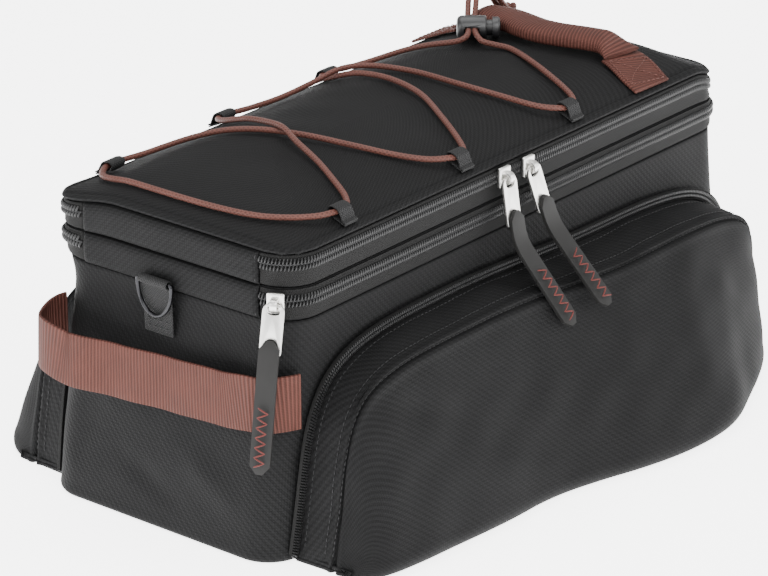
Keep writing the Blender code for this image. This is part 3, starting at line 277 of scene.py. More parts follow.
def rounded_rectangle(half_length, half_width, corner, count):
    """A ring of points at equal steps, from the middle of the -X end round by the near side."""
    turn = np.linspace(0.0, math.pi / 2, 24)
    parts = [np.array([[-half_length, 0.0]])]
    for side_x, side_y, start in ((-1, -1, 2), (1, -1, 3), (1, 1, 0), (-1, 1, 1)):
        angle = turn + start * math.pi / 2
        centre = np.array([side_x * (half_length - corner), side_y * (half_width - corner)])
        parts.append(centre + corner * np.stack((np.cos(angle), np.sin(angle)), axis=1))
    parts.append(parts[0])
    ring = evenly(np.concatenate(parts), count + 1)[:-1]
    return ring + np.array([BAG_X, 0.0])


def level_ring(half_length, half_width, corner, count, height):
    """A rounded rectangle of points at one height, or with a height of their own each."""
    ring = rounded_rectangle(half_length, half_width, corner, count)
    return np.column_stack((ring, np.broadcast_to(height, count)))


def ring_outwards(ring):
    """Unit normals of a closed ring that runs counter-clockwise, pointing out of it."""
    step = np.roll(ring, -1, axis=0) - np.roll(ring, 1, axis=0)
    return unit(np.stack((step[:, 1], -step[:, 0]), axis=1))


def lid_top(x, y):
    """Height of the padded lid: its edge plus a crown that falls off with high powers of x and y."""
    along = np.minimum(1.0, np.abs(x - BAG_X) / LID_LENGTH)
    across = np.minimum(1.0, np.abs(y) / LID_WIDTH)
    return LID_SEAM + LID_EDGE + LID_CROWN * (1.0 - along ** CROWN_LONG) * (1.0 - across ** CROWN_WIDE)


def lid_normal(x, y):
    """Unit normal of the lid, from its slopes along x and y."""
    step = 0.0005
    rise_x = (lid_top(x + step, y) - lid_top(x - step, y)) / (2 * step)
    rise_y = (lid_top(x, y + step) - lid_top(x, y - step)) / (2 * step)
    return unit(np.stack((-rise_x, -rise_y, np.ones_like(rise_x)), axis=-1))


def wall_sizes(height):
    """Half length, half width and corner radius of the body's walls at a height."""
    lean = np.interp(height / BODY_HEIGHT, [row[0] for row in WALL], [row[1] for row in WALL])
    return (FLOOR_LENGTH + (LID_LENGTH - FLOOR_LENGTH) * lean, FLOOR_WIDTH + (LID_WIDTH - FLOOR_WIDTH) * lean,
            FLOOR_CORNER + (LID_CORNER - FLOOR_CORNER) * lean)


def lie(points):
    """How the filled bag settles: the lid sinks towards its far side and its +X end, a far corner stands out.

    A point sinks by 5 mm (1 - (1 - a)(1 - b)), where a and b ease in from the middle of the lid.
    """
    x, y, z = (points[..., k] for k in range(3))
    high = ease((z - 0.140) / 0.020)
    far = ease((y - 0.036) / 0.040)
    end = ease((x - 0.160) / 0.030)
    corner = 0.0042 * np.exp(-((x + 0.1835) ** 2 + (y - 0.080) ** 2) / 0.018 ** 2) * ease((z - 0.110) / 0.030)
    sink = 0.005 * (1.0 - (1.0 - far) * (1.0 - end)) * high
    return np.stack((x - 0.004 * end * high - corner, y + corner, z - sink), axis=-1)


# Meshes

def grid_faces(rows, columns, wrap):
    """Corner indices of the quads of a grid, and where each corner lies in it."""
    i, j = np.meshgrid(np.arange(rows - 1), np.arange(columns if wrap else columns - 1), indexing="ij")
    corners_i = np.stack((i, i, i + 1, i + 1), axis=-1).reshape(-1, 4)
    corners_j = np.stack((j, j + 1, j + 1, j), axis=-1).reshape(-1, 4)
    return corners_i * columns + corners_j % columns, corners_i, corners_j


def surface(name, points, wrap=False, caps=False, flip=False, sharp=50):
    """A mesh over a grid of points, with a UV map in metres: U along the columns and V along the rows."""
    rows, columns = points.shape[:2]
    points = lie(points)
    quads, corners_i, corners_j = grid_faces(rows, columns, wrap)
    ring = np.concatenate((points, points[:, :1]), axis=1) if wrap else points
    along = travelled(ring[rows // 2])
    across = travelled(points[:, columns // 3])
    uv = np.stack((along[corners_j], across[corners_i]), axis=-1)
    faces = quads.tolist()
    corner_uv = uv.reshape(-1, 2)
    if caps:
        faces += [list(range(columns))[::-1], list(range((rows - 1) * columns, rows * columns))]
        cap_uv = np.stack((along[:columns], np.zeros(columns)), axis=-1)
        corner_uv = np.concatenate((corner_uv, cap_uv[::-1], cap_uv))
    if flip:
        faces = [face[::-1] for face in faces]
        corner_uv = np.concatenate([corner_uv[:quads.size].reshape(-1, 4, 2)[:, ::-1].reshape(-1, 2),
                                    corner_uv[quads.size:]])
    mesh = bpy.data.meshes.new(name)
    mesh.from_pydata(points.reshape(-1, 3).tolist(), [], faces)
    layer = mesh.uv_layers.new(name="cloth")
    layer.data.foreach_set("uv", corner_uv.astype(np.float32).ravel())
    return finish_mesh(name, mesh, caps, sharp)


def finish_mesh(name, mesh, closed, sharp=50):
    """Outward normals for a closed shape, smooth shading with sharp edges, and the object."""
    if closed:
        work = bmesh.new()
        work.from_mesh(mesh)
        bmesh.ops.recalc_face_normals(work, faces=work.faces)
        work.to_mesh(mesh)
        work.free()
    mesh.shade_smooth()
    mesh.set_sharp_from_angle(angle=math.radians(sharp))
    made = bpy.data.objects.new(name, mesh)
    bpy.context.scene.collection.objects.link(made)
    return made


def weld(piece, closed=False):
    """Merges the points that lie on each other, and turns a closed shape's faces outwards."""
    work = bmesh.new()
    work.from_mesh(piece.data)
    bmesh.ops.remove_doubles(work, verts=work.verts, dist=0.00001)
    bmesh.ops.dissolve_degenerate(work, edges=work.edges, dist=0.000001)
    if closed:
        bmesh.ops.recalc_face_normals(work, faces=work.faces)
    work.to_mesh(piece.data)
    work.free()
    return piece


def sweep(path, outward, profile):
    """Points of a profile of (side, out) carried along a path. The profile may differ at each point."""
    tangents = heading(path)
    out = square_to(np.broadcast_to(outward, path.shape), tangents)
    side = np.cross(tangents, out)
    profile = np.broadcast_to(profile, (len(path), *profile.shape[-2:]))
    return path[:, None] + side[:, None] * profile[..., :1] + out[:, None] * profile[..., 1:]


def oval(width, thickness, count, power=1.0):
    """A closed profile: an ellipse, or with a power below one a rounded rectangle."""
    angle = np.arange(count) * 2 * math.pi / count
    across, up = np.cos(angle), np.sin(angle)
    return np.stack((width / 2 * np.sign(across) * np.abs(across) ** power,
                     thickness / 2 * np.sign(up) * np.abs(up) ** power), axis=1)


def tube(name, path, radius, sides=12, up=(0.0, 0.0, 1.0)):
    """A round tube along a path, closed at both ends."""
    points = sweep(path, np.array(up), oval(2 * radius, 2 * radius, sides))
    return surface(name, points, wrap=True, caps=True)


def strip(name, path, outward, width, thickness, sides=28, power=0.30):
    """Webbing: a flat profile with rounded edges carried along a path."""
    return surface(name, sweep(path, outward, oval(width, thickness, sides, power)), wrap=True, caps=True)


def scattered(name, shape, places, axes, sharp=50):
    """One mesh of many copies of a small closed tube, its local X, Y and Z laid on each place's axes."""
    rows, columns = shape.shape[:2]
    quads, _, _ = grid_faces(rows, columns, True)
    small = shape.reshape(-1, 3)
    points = lie(places[:, None] + np.einsum("vk,nkc->nvc", small, axes))
    shift = np.arange(len(places))[:, None, None] * len(small)
    faces = (quads[None] + shift).reshape(-1, 4).tolist()
    starts = np.arange(len(places))[:, None] * len(small)
    first = starts + np.arange(columns)[::-1]
    last = starts + np.arange((rows - 1) * columns, rows * columns)
    mesh = bpy.data.meshes.new(name)
    mesh.from_pydata(points.reshape(-1, 3).tolist(), [], faces + first.tolist() + last.tolist())
    return finish_mesh(name, mesh, True, sharp)


def solid_cloth(piece, thickness, offset=-1.0):
    """Gives an open sheet its thickness."""
    wall = piece.modifiers.new("cloth", "SOLIDIFY")
    wall.thickness = thickness
    wall.offset = offset
    wall.use_even_offset = False
    return piece


def dress(piece, finish, body=BAG, replaces=()):
    """Puts a finish on a piece, ties it to its body and hides the nodes it stands for."""
    piece.data.materials.clear()
    piece.data.materials.append(finish)
    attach(piece, body)
    if replaces:
        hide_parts(*replaces)
    return piece


# Shader expressions

class Wire:
    """A shader socket that takes part in Python expressions by adding Math nodes."""

    def __init__(self, finish, socket):
        self.finish = finish
        self.socket = socket

    def sum(self, operation, *values):
        sockets = dict(enumerate(values))
        return self.finish.node("ShaderNodeMath", {"operation": operation}, sockets)

    def __pow__(self, other):
        return self.sum("POWER", self, other)

    def sine(self):
        return self.sum("SINE", self)

    def least(self, other):
        return self.sum("MINIMUM", self, other)

    def most(self, other):
        return self.sum("MAXIMUM", self, other)


def overload(word, operation):
    """Gives Wire one operator and its reflected form."""
    setattr(Wire, f"__{word}__", lambda wire, other: wire.sum(operation, wire, other))
    setattr(Wire, f"__r{word}__", lambda wire, other: wire.sum(operation, other, wire))


for word, operation in (("add", "ADD"), ("sub", "SUBTRACT"), ("mul", "MULTIPLY"), ("truediv", "DIVIDE")):
    overload(word, operation)


class Finish:
    """A material and the one way to add nodes to it."""

    def __init__(self, name, roughness, metallic=0.0, constants=()):
        self.material = bpy.data.materials.new(name)
        self.material.use_nodes = True
        self.tree = self.material.node_tree
        self.shader = self.tree.nodes["Principled BSDF"]
        self.shader.inputs["Roughness"].default_value = roughness
        self.shader.inputs["Metallic"].default_value = metallic
        for key, value in dict(constants).items():
            self.shader.inputs[key].default_value = value

    def node(self, kind, settings=None, sockets=None, output=0):
        made = self.tree.nodes.new(kind)
        for key, value in (settings or {}).items():
            setattr(made, key, value)
        for key, value in (sockets or {}).items():
            if isinstance(value, Wire):
                self.tree.links.new(value.socket, made.inputs[key])
            else:
                made.inputs[key].default_value = value
        return Wire(self, made.outputs[output])

    def uv(self):
        """U and V in metres, from the piece's own map."""
        whole = self.node("ShaderNodeUVMap", {"uv_map": "cloth"})
        split = self.node("ShaderNodeSeparateXYZ", None, {0: whole})
        return split, Wire(self, split.socket.node.outputs[1])

    def noise(self, size, detail=3.0, rough=0.5):
        """Noise from 0 to 1 in object space, its blotches about size metres across."""
        place = self.node("ShaderNodeTexCoord", output=3)
        return self.node("ShaderNodeTexNoise", None,
                         {"Vector": place, "Scale": 1.0 / size, "Detail": detail, "Roughness": rough})

    def colour(self, dark, light, share):
        mixed = self.node("ShaderNodeMix", {"data_type": "RGBA"},
                          {0: share, 6: (*dark, 1.0), 7: (*light, 1.0)}, output=2)
        self.link(mixed, "Base Color")

    def link(self, wire, socket):
        self.tree.links.new(wire.socket, self.shader.inputs[socket])

    def bump(self, height, depth, strength=1.0):
        """Relief: height runs from 0 to 1 and depth says how many metres that is."""
        sockets = {"Strength": strength, "Distance": depth, "Height": height}
        relief = self.node("ShaderNodeBump", None, sockets)
        self.link(relief, "Normal")


TURN = 2 * math.pi


def woven_cloth(name, thread, dark, light, roughness=0.78, slant=1.0):
    """Polyester cloth: warp and weft ribs crossed by a twill line, over soft blotches of tone."""
    cloth = Finish(name, roughness, 0.0, {"Specular IOR Level": 0.14})
    u, v = cloth.uv()
    warp = (u * (TURN / thread)).sine() * 0.5 + 0.5
    weft = (v * (TURN / thread)).sine() * 0.5 + 0.5
    twill = ((u + v * slant) * (TURN / (2.6 * thread))).sine() * 0.5 + 0.5
    fibre = cloth.noise(0.0006, 2.0)
    weave = warp * weft * 0.45 + twill * 0.40 + fibre * 0.35
    blotch = cloth.noise(0.035, 4.0, 0.55)
    cloth.colour(dark, light, (weave * 1.1 + blotch * 0.45 - 0.25).least(1.0).most(0.0))
    cloth.link(blotch * 0.16 + (roughness - 0.10), "Roughness")
    cloth.bump(weave, 0.00034, 0.9)
    return cloth.material


def ribbed_webbing(name, rib, dark, light):
    """Webbing: ribs across its length, each one crossed by fine yarns, with a painted highlight on their
    crests and painted shade in the grooves between them.
    """
    web = Finish(name, 0.62, 0.0, {"Specular IOR Level": 0.10})
    u, v = web.uv()
    ribs = ((v * (TURN / rib)).sine() * 0.5 + 0.5) ** 1.3
    pairs = (v * (TURN / (2 * rib))).sine() * 0.5 + 0.5
    yarn = (u * (TURN / 0.0009)).sine() * 0.5 + 0.5
    blotch = web.noise(0.012, 3.0)
    height = ribs * 0.72 + yarn * 0.16 + pairs * 0.12
    # Painted light: the ribs' crests take the lit brown and their grooves the shaded brown, a painted
    # highlight and painted shade; the yarns and blotches add pattern and random tone.
    web.colour(dark, light, (ribs * 0.55 + yarn * 0.15 + blotch * 0.35).least(1.0))
    web.link(blotch * 0.2 + 0.5, "Roughness")
    web.bump(height, 0.00060, 1.0)
    return web.material


def basket_webbing(name, cell, dark, light):
    """Black webbing of a coarse basket weave: raised cells in rows that step by half a cell."""
    web = Finish(name, 0.75, 0.0, {"Specular IOR Level": 0.3})
    u, v = web.uv()
    knots = ((u * (TURN / cell)).sine() * (v * (TURN / cell)).sine()) * 0.5 + 0.5
    fine = web.noise(0.0007, 2.0)
    web.colour(dark, light, knots * 0.8 + fine * 0.2)
    web.bump(knots * 0.8 + fine * 0.2, 0.00045, 1.0)
    return web.material


def braided_cord(name, plait, dark, light):
    """Braided sheath: two sets of helical yarns whose crossings stand up, with a painted highlight on the
    crossings and painted shade between them.
    """
    braid = Finish(name, 0.50, 0.0, {"Specular IOR Level": 0.22})
    u, v = braid.uv()
    turns = TURN * 4 / (math.pi * CORD)
    one = (v * (TURN / plait) + u * turns).sine()
    other = (v * (TURN / plait) - u * turns).sine()
    crossing = one.most(other) * 0.5 + 0.5
    blotch = braid.noise(0.02, 3.0)
    # Painted light: the raised crossings take the lit brown and the gaps between them the shaded brown, a
    # painted highlight and painted shade, over random blotches of tone.
    braid.colour(dark, light, crossing * 0.65 + blotch * 0.4)
    braid.bump(crossing, 0.00018, 0.8)
    return braid.material


def coil_plastic(name):
    """Black nylon monofilament: smooth, glossy on top and greyer where it is worn."""
    coil = Finish(name, 0.34, 0.0, {"Specular IOR Level": 0.30})
    worn = coil.noise(0.0016, 2.0)
    coil.colour((0.0020, 0.0020, 0.0022), (0.0100, 0.0100, 0.0105), worn)
    coil.link(worn * 0.25 + 0.25, "Roughness")
    coil.bump(coil.noise(0.0008, 2.0), 0.00006, 0.5)
    return coil.material


def zip_tape(name):
    """Woven zip tape: fine herringbone lines along its length with ribs beside the coil."""
    tape = Finish(name, 0.80, 0.0, {"Specular IOR Level": 0.2})
    u, v = tape.uv()
    bone = ((u * (TURN / 0.0011) + (v * (TURN / 0.0026)).sine() * 2.2).sine()) * 0.5 + 0.5
    rib = (v * (TURN / 0.0009)).sine() * 0.5 + 0.5
    tape.colour((0.0012, 0.0012, 0.0012), (0.0080, 0.0078, 0.0076), bone * 0.5 + rib * 0.35)
    tape.bump(bone * 0.6 + rib * 0.4, 0.00020, 0.8)
    return tape.material


def satin_metal(name, dark, light, roughness):
    """Cast zinc with a satin plating: fine grain, soft scratches and slightly dull hollows."""
    metal = Finish(name, roughness, 1.0)
    grain = metal.noise(0.0005, 4.0, 0.6)
    dull = metal.noise(0.004, 3.0)
    place = metal.node("ShaderNodeTexCoord", output=3)
    stretched = metal.node("ShaderNodeMapping", None, {"Vector": place, "Scale": (3000.0, 3000.0, 120.0)})
    scratch = metal.node("ShaderNodeTexNoise", None, {"Vector": stretched, "Scale": 1.0, "Detail": 2.0})
    metal.colour(dark, light, dull * 0.6 + grain * 0.4)
    metal.link(dull * 0.16 + scratch * 0.10 + (roughness - 0.12), "Roughness")
    metal.bump(grain * 0.5 + scratch * 0.5, 0.00004, 0.5)
    return metal.material


def moulded_plastic(name, dark, light, roughness):
    """Black moulded plastic with a fine spark-eroded grain."""
    plastic = Finish(name, roughness)
    grain = plastic.noise(0.0006, 3.0)
    rub = plastic.noise(0.006, 3.0)
    plastic.colour(dark, light, rub)
    plastic.link(rub * 0.2 + (roughness - 0.1), "Roughness")
    plastic.bump(grain, 0.00008, 0.6)
    return plastic.material


def tab_rubber(name):
    """Matt charcoal rubber with a leathery grain."""
    rubber = Finish(name, 0.62, 0.0, {"Specular IOR Level": 0.2})
    pebbles = rubber.node("ShaderNodeTexVoronoi", {"feature": "DISTANCE_TO_EDGE"},
                          {"Vector": rubber.node("ShaderNodeTexCoord", output=3), "Scale": 900.0})
    rub = rubber.noise(0.008, 3.0)
    rubber.colour((0.007, 0.0068, 0.0066), (0.015, 0.0147, 0.0142), rub)
    rubber.link(rub * 0.2 + 0.5, "Roughness")
    rubber.bump(pebbles, 0.00012, 0.5)
    return rubber.material


def thread(name, dark, light):
    """Twisted sewing thread."""
    yarn = Finish(name, 0.55, 0.0, {"Specular IOR Level": 0.3})
    ply = yarn.noise(0.0007, 2.0)
    yarn.colour(dark, light, ply)
    yarn.bump(ply, 0.00010, 0.7)
    return yarn.material


CLOTH_DARK, CLOTH_LIGHT = (0.0010, 0.0010, 0.0010), (0.0085, 0.0085, 0.0089)
# The brown webbing in shade and in light: shaded and lit copies of one brown, mixed over the ribs as painted
# shade and painted highlight.
BROWN_SHADED, BROWN_LIT = (0.024, 0.0085, 0.0062), (0.118, 0.0445, 0.0345)
LOOKS = {
    "body": woven_cloth("body_oxford", 0.00150, CLOTH_DARK, CLOTH_LIGHT),
    "lid": woven_cloth("lid_twill", 0.00140, CLOTH_DARK, CLOTH_LIGHT, slant=-1.0),
    "pocket": woven_cloth("pocket_oxford", 0.00160, CLOTH_DARK, CLOTH_LIGHT, slant=-1.0),
    "tape": zip_tape("zip_tape"),
    "coil": coil_plastic("zip_coil"),
    "brown_web": ribbed_webbing("brown_ribbed_webbing", 0.0019, BROWN_SHADED, BROWN_LIT),
    "black_web": basket_webbing("black_basket_webbing", 0.0017, (0.001, 0.001, 0.001), (0.014, 0.014, 0.0145)),
    # The cord's shaded and lit browns, mixed over its braid as painted shade and painted highlight.
    "cord": braided_cord("brown_elastic_braid", 0.0024, (0.026, 0.0090, 0.0064), (0.112, 0.0420, 0.0320)),
    "silver": satin_metal("satin_nickel", (0.56, 0.55, 0.53), (0.84, 0.83, 0.80), 0.34),
    "gunmetal": satin_metal("dark_nickel", (0.010, 0.010, 0.011), (0.045, 0.045, 0.048), 0.28),
    "plastic": moulded_plastic("lock_plastic", (0.005, 0.005, 0.0055), (0.014, 0.014, 0.015), 0.40),
    "rubber": tab_rubber("tab_rubber"),
    "red_thread": thread("brick_red_thread", (0.045, 0.0060, 0.0045), (0.120, 0.0190, 0.0140)),
    "black_thread": thread("black_thread", (0.004, 0.004, 0.0045), (0.024, 0.024, 0.025)),
    "brown_thread": thread("brown_thread", (0.045, 0.015, 0.011), (0.150, 0.056, 0.043)),
}


# Camera and light

def camera_and_light():
    """A long lens at the photograph's angle, soft boxes round the bag and a pale sweep under it."""
    lens = bpy.data.cameras.new("camera")
    lens.lens = 190.672
    lens.sensor_width = 36.0
    lens.clip_start = 0.1
    lens.clip_end = 60.0
    camera = bpy.data.objects.new("camera", lens)
    camera.location = (-1.58664, -1.27371, 0.92431)
    back = Vector((-0.7164, -0.5801, 0.3875))
    camera.rotation_euler = (-back).to_track_quat("-Z", "Y").to_euler()
    bpy.context.scene.collection.objects.link(camera)
    bpy.context.scene.camera = camera
    lights = (
        # name, place, size, power, aim
        ("key", (-1.1, -1.5, 1.9), 1.5, 62.0, (0.0, -0.02, 0.12)),
        ("left", (-2.0, 0.5, 1.0), 1.4, 30.0, (-0.1, 0.0, 0.10)),
        ("right", (1.5, -1.6, 1.0), 1.3, 20.0, (0.1, -0.1, 0.08)),
        ("top", (0.3, 0.5, 2.2), 1.8, 42.0, (0.0, 0.0, 0.15)),
    )
    for name, place, size, power, aim in lights:
        data = bpy.data.lights.new(name, "AREA")
        data.shape = "SQUARE"
        data.size = size
        data.energy = power
        lamp = bpy.data.objects.new(name, data)
        lamp.location = place
        lamp.rotation_euler = (Vector(place) - Vector(aim)).to_track_quat("Z", "Y").to_euler()
        bpy.context.scene.collection.objects.link(lamp)
    world = bpy.data.worlds.new("studio")
    world.use_nodes = True
    world.node_tree.nodes["Background"].inputs["Color"].default_value = (1.0, 1.0, 1.0, 1.0)
    world.node_tree.nodes["Background"].inputs["Strength"].default_value = 0.85
    bpy.context.scene.world = world
    paper = Finish("pale_paper", 0.9, 0.0, {"Emission Color": (1.0, 1.0, 1.0, 1.0), "Emission Strength": 4.2})
    paper.colour((0.86, 0.86, 0.86), (0.90, 0.90, 0.90), paper.noise(0.5, 2.0))
    reach = np.linspace(-9.0, 9.0, 5)
    x, y = np.meshgrid(reach, reach, indexing="ij")
    floor = surface("floor", np.stack((x, y, np.full_like(x, -0.0004)), axis=-1))
    floor.data.materials.append(paper.material)


camera_and_light()


# Elastic cord, its knot and its lock

def elastic_cord():
    """The lacing: a smooth curve through the route, as one braided tube, with both ends in the knot."""
    route = np.array(CORD_ROUTE) / 1000
    route[:, 2] += lid_top(route[:, 0], route[:, 1])
    path = rounded_through(route, 5)
    cord = tube("elastic_lacing", path, CORD / 2, 14)
    dress(cord, LOOKS["cord"], replaces=("elastic_cord",))
    low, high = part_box("cord_knot")
    centre = (np.array(low) + np.array(high)) / 2
    turn = np.linspace(0.0, TURN, 161)[:-1]
    knot = np.stack((np.sin(turn) + 2 * np.sin(2 * turn), np.cos(turn) - 2 * np.cos(2 * turn),
                     -1.4 * np.sin(3 * turn)), axis=1)
    knot = centre + knot * np.array([0.00105, 0.00105, 0.0013])
    tied = surface("tied_knot", sweep(np.concatenate((knot, knot[:1])), np.array([0.0, 0.0, 1.0]),
                                      oval(CORD * 0.94, CORD * 0.94, 12)), wrap=True, caps=True)
    dress(tied, LOOKS["cord"], replaces=("cord_knot",))
    lie(route[0]).tolist()
    lie(path).tolist()


elastic_cord()


# Cloth body, lid and rims

def body_shell():
    """Walls lofted from the floor's outline to the lid's, sagging between their corners, and the floor."""
    columns = 380
    rows = []
    half_length, half_width, corner = wall_sizes(0.0)
    for edge in np.linspace(0.94, 0.06, 8) * half_width:
        tight = max(corner - edge, 0.2 * (half_width - edge))
        rows.append(level_ring(half_length - edge, half_width - edge, tight, columns, 0.0))
    for angle in np.linspace(0.0, math.pi / 2, 5):
        edge = FLOOR_ROLL * (1.0 - math.sin(angle))
        height = FLOOR_ROLL * (1.0 - math.cos(angle))
        rows.append(level_ring(half_length - edge, half_width - edge, corner - edge, columns, height))
    rows += [level_ring(*wall_sizes(height), columns, height)
             for height in np.linspace(2 * FLOOR_ROLL, BODY_HEIGHT - GAP, 56)]
    points = np.array(rows)
    outward = ring_outwards(rounded_rectangle(FLOOR_LENGTH, FLOOR_WIDTH, FLOOR_CORNER, columns))
    outward = np.column_stack((outward, np.zeros(columns)))
    on_end = np.abs(outward[:, 0]) ** 2
    height = points[..., 2]
    wall = ease(height / 0.03) * ease((BODY_HEIGHT - height) / 0.012)
    soft = 0.0007 * rumple(points, 4, 0.075) + 0.0004 * rumple(points, 5, 0.030) - 0.0008
    shift = wall * soft * (0.25 + 0.75 * on_end)
    shift += wall * on_end * creases(points, END_CREASES)
    seam = np.exp(-((points[..., 0] - BAG_X + 0.1825) / 0.0011) ** 2) * (1.0 - on_end)
    shift -= 0.0009 * seam * wall
    points = points + outward * shift[..., None]
    shell = surface("body_shell", points, wrap=True)
    return dress(solid_cloth(shell, CLOTH), LOOKS["body"], replaces=("bag_body",))


# Folds in the -X end: start, end, half width and height, in millimetres
END_CREASES = (
    ((-190, 60, 110), (-196, 20, 62), 7.0, 2.0),
    ((-192, 40, 60), (-198, 66, 20), 8.0, -2.4),
    ((-188, -30, 112), (-194, -62, 70), 9.0, -2.2),
    ((-196, -10, 50), (-200, -55, 22), 9.0, 1.8),
    ((-187, 30, 124), (-191, 5, 92), 6.0, -1.6),
    ((-198, 30, 34), (-200, -20, 12), 7.0, -1.8),
)


def rim(name, node, low, high):
    """A padded band: a rounded closed profile carried round the lid's outline."""
    middle, half = (low + high) / 2, (high - low) / 2
    profile = oval(PADDING, 2 * half, 36, 0.35)
    ring = rounded_rectangle(LID_LENGTH, LID_WIDTH, LID_CORNER, 420)
    outward = ring_outwards(ring)
    out = profile[:, 0] - PADDING / 2
    points = np.empty((len(profile), len(ring), 3))
    points[..., :2] = ring + outward * out[:, None, None]
    points[..., 2] = (middle + profile[:, 1])[:, None]
    band = weld(surface(name, np.concatenate((points, points[:1])), wrap=True), closed=True)
    return dress(band, LOOKS["body"], replaces=(node,))


# The lid's rolled edge
LID_ROLL = (
    # height, out
    (0.0000, -0.0006),
    (0.0003, 0.0004),
    (0.0009, 0.0011),
    (0.0016, 0.0014),
    (0.0023, 0.0012),
)


def lid_panel():
    """The padded lid: a rolled edge, then rings set in from the outline, each at the crown's height."""
    columns = 380
    rows = []
    for height, out in LID_ROLL:
        rows.append(level_ring(LID_LENGTH + out, LID_WIDTH + out, LID_CORNER, columns, LID_SEAM + height))
    for share in np.linspace(0.0, 1.0, 60) ** 1.5:
        inset = share * LID_WIDTH
        corner = max(LID_CORNER - inset, 0.25 * (LID_WIDTH - inset))
        ring = rounded_rectangle(LID_LENGTH - inset, LID_WIDTH - inset, corner, columns)
        rows.append(np.column_stack((ring, lid_top(ring[:, 0], ring[:, 1]))))
    points = np.array(rows)
    from_edge = np.clip((LID_WIDTH - np.abs(points[..., 1])) / 0.02, 0, 1) * np.clip(
        (LID_LENGTH - np.abs(points[..., 0] - BAG_X)) / 0.02, 0, 1)
    dip = 0.0007 * rumple(points, 11, 0.11) - 0.0007 + 0.00035 * rumple(points, 12, 0.04)
    dip += creases(points, LID_CREASES)
    points[..., 2] += ease(from_edge) * np.minimum(dip, 0.0002)
    inset = np.minimum(LID_WIDTH - np.abs(points[..., 1]), LID_LENGTH - np.abs(points[..., 0] - BAG_X))
    points[..., 2] -= 0.0009 * np.exp(-((inset - 0.0030) / 0.0010) ** 2)
    panel = weld(surface("lid_panel", points, wrap=True))
    return dress(solid_cloth(panel, PADDING), LOOKS["lid"], replaces=("lid",))


# Folds in the lid: start, end, half width and height, in millimetres
LID_CREASES = (
    ((-150, -60, 176), (-60, -66, 176), 6.0, -0.7),
    ((-170, 20, 176), (-120, 50, 176), 10.0, -0.8),
    ((60, -55, 178), (110, -20, 178), 9.0, -0.9),
    ((130, -20, 178), (170, 10, 178), 10.0, -1.0),
    ((-20, 50, 178), (30, 30, 178), 8.0, -0.6),
)


def zip_path(out, count):
    """The lid's outline, set out by a distance, between the two ends of a lid zip."""
    ring = rounded_rectangle(LID_LENGTH + out, LID_WIDTH + out, LID_CORNER + out, 3000)
    end_x = BAG_X - LID_LENGTH - out
    kept = ring[~((np.abs(ring[:, 0] - end_x) < 1e-5) & (np.abs(ring[:, 1]) < ZIP_END))]
    path = np.concatenate(([[end_x, -ZIP_END]], kept, [[end_x, ZIP_END]]))
    return evenly(path, count)


def coil_tooth(size, side):
    """Half a turn of the coil: a wire that arches from the middle of the chain to its edge and leans over."""
    share = np.linspace(0.0, 1.0, 6)
    path = np.stack((size["pitch"] * 0.42 * side * (share - 0.5),
                     side * (0.06 + 0.94 * share) * (size["half"] - size["wire"] * 0.6),
                     size["rise"] * (0.30 + 0.55 * np.sin(math.pi * (0.12 + 0.82 * share)))), axis=1)
    taper = size["wire"] * (0.72 + 0.28 * np.sin(math.pi * share))
    ring = oval(2.0, 2.0, 6)[None] * taper[:, None, None]
    return sweep(path, np.array([0.0, 0.0, 1.0]), ring)


def coil(name, path, outward, size):
    """Both rows of coil turns along a path, the second half a pitch behind the first."""
    count = int(travelled(path)[-1] / size["pitch"])
    for row, side, shift in (("upper", 1.0, 0.25), ("lower", -1.0, 0.75)):
        place, tangent, out = places_on(path, outward, (np.arange(count) + shift) * size["pitch"])
        axes = np.stack((tangent, np.cross(out, tangent), out), axis=1)
        piece = scattered(f"{name}_{row}_row", coil_tooth(size, side), place, axes)
        dress(piece, LOOKS["coil"])


def lid_zip(name, node, middle, low, high):
    """Two strips of tape with a fold along the coil, the coil's two rows and the thread that holds them."""
    half = LID_COIL["half"]
    below, above = middle - half, middle + half
    profile = np.array([
        # out, height
        (0.00030, low),
        (0.00075, low + 0.0002),
        (0.00100, low + 0.0016),
        (0.00085, below - 0.0010),
        (0.00120, below - 0.0002),
        (0.00105, below + 0.0008),
        (0.00100, middle),
        (0.00105, above - 0.0008),
        (0.00120, above + 0.0002),
        (0.00085, above + 0.0010),
        (0.00100, high - 0.0012),
        (0.00075, high - 0.0002),
        (0.00030, high),
    ])
    base = zip_path(0.0, 620)
    flat = heading(base)
    outward = np.stack((flat[:, 1], -flat[:, 0]), axis=1)
    points = np.empty((len(profile), len(base), 3))
    points[..., :2] = base + outward * profile[:, 0][:, None, None]
    points[..., 2] = profile[:, 1][:, None]
    tape = surface(name + "_tape", points)
    dress(solid_cloth(tape, 0.0004), LOOKS["tape"], replaces=(node,))
    path = np.column_stack((base + outward * 0.00100, np.full(len(base), middle)))
    out3 = np.column_stack((outward, np.zeros(len(base))))
    coil(name, path, out3, LID_COIL)
    core = tube(name + "_core", path + out3 * 0.00035, 0.00055, 8)
    dress(core, LOOKS["black_thread"])


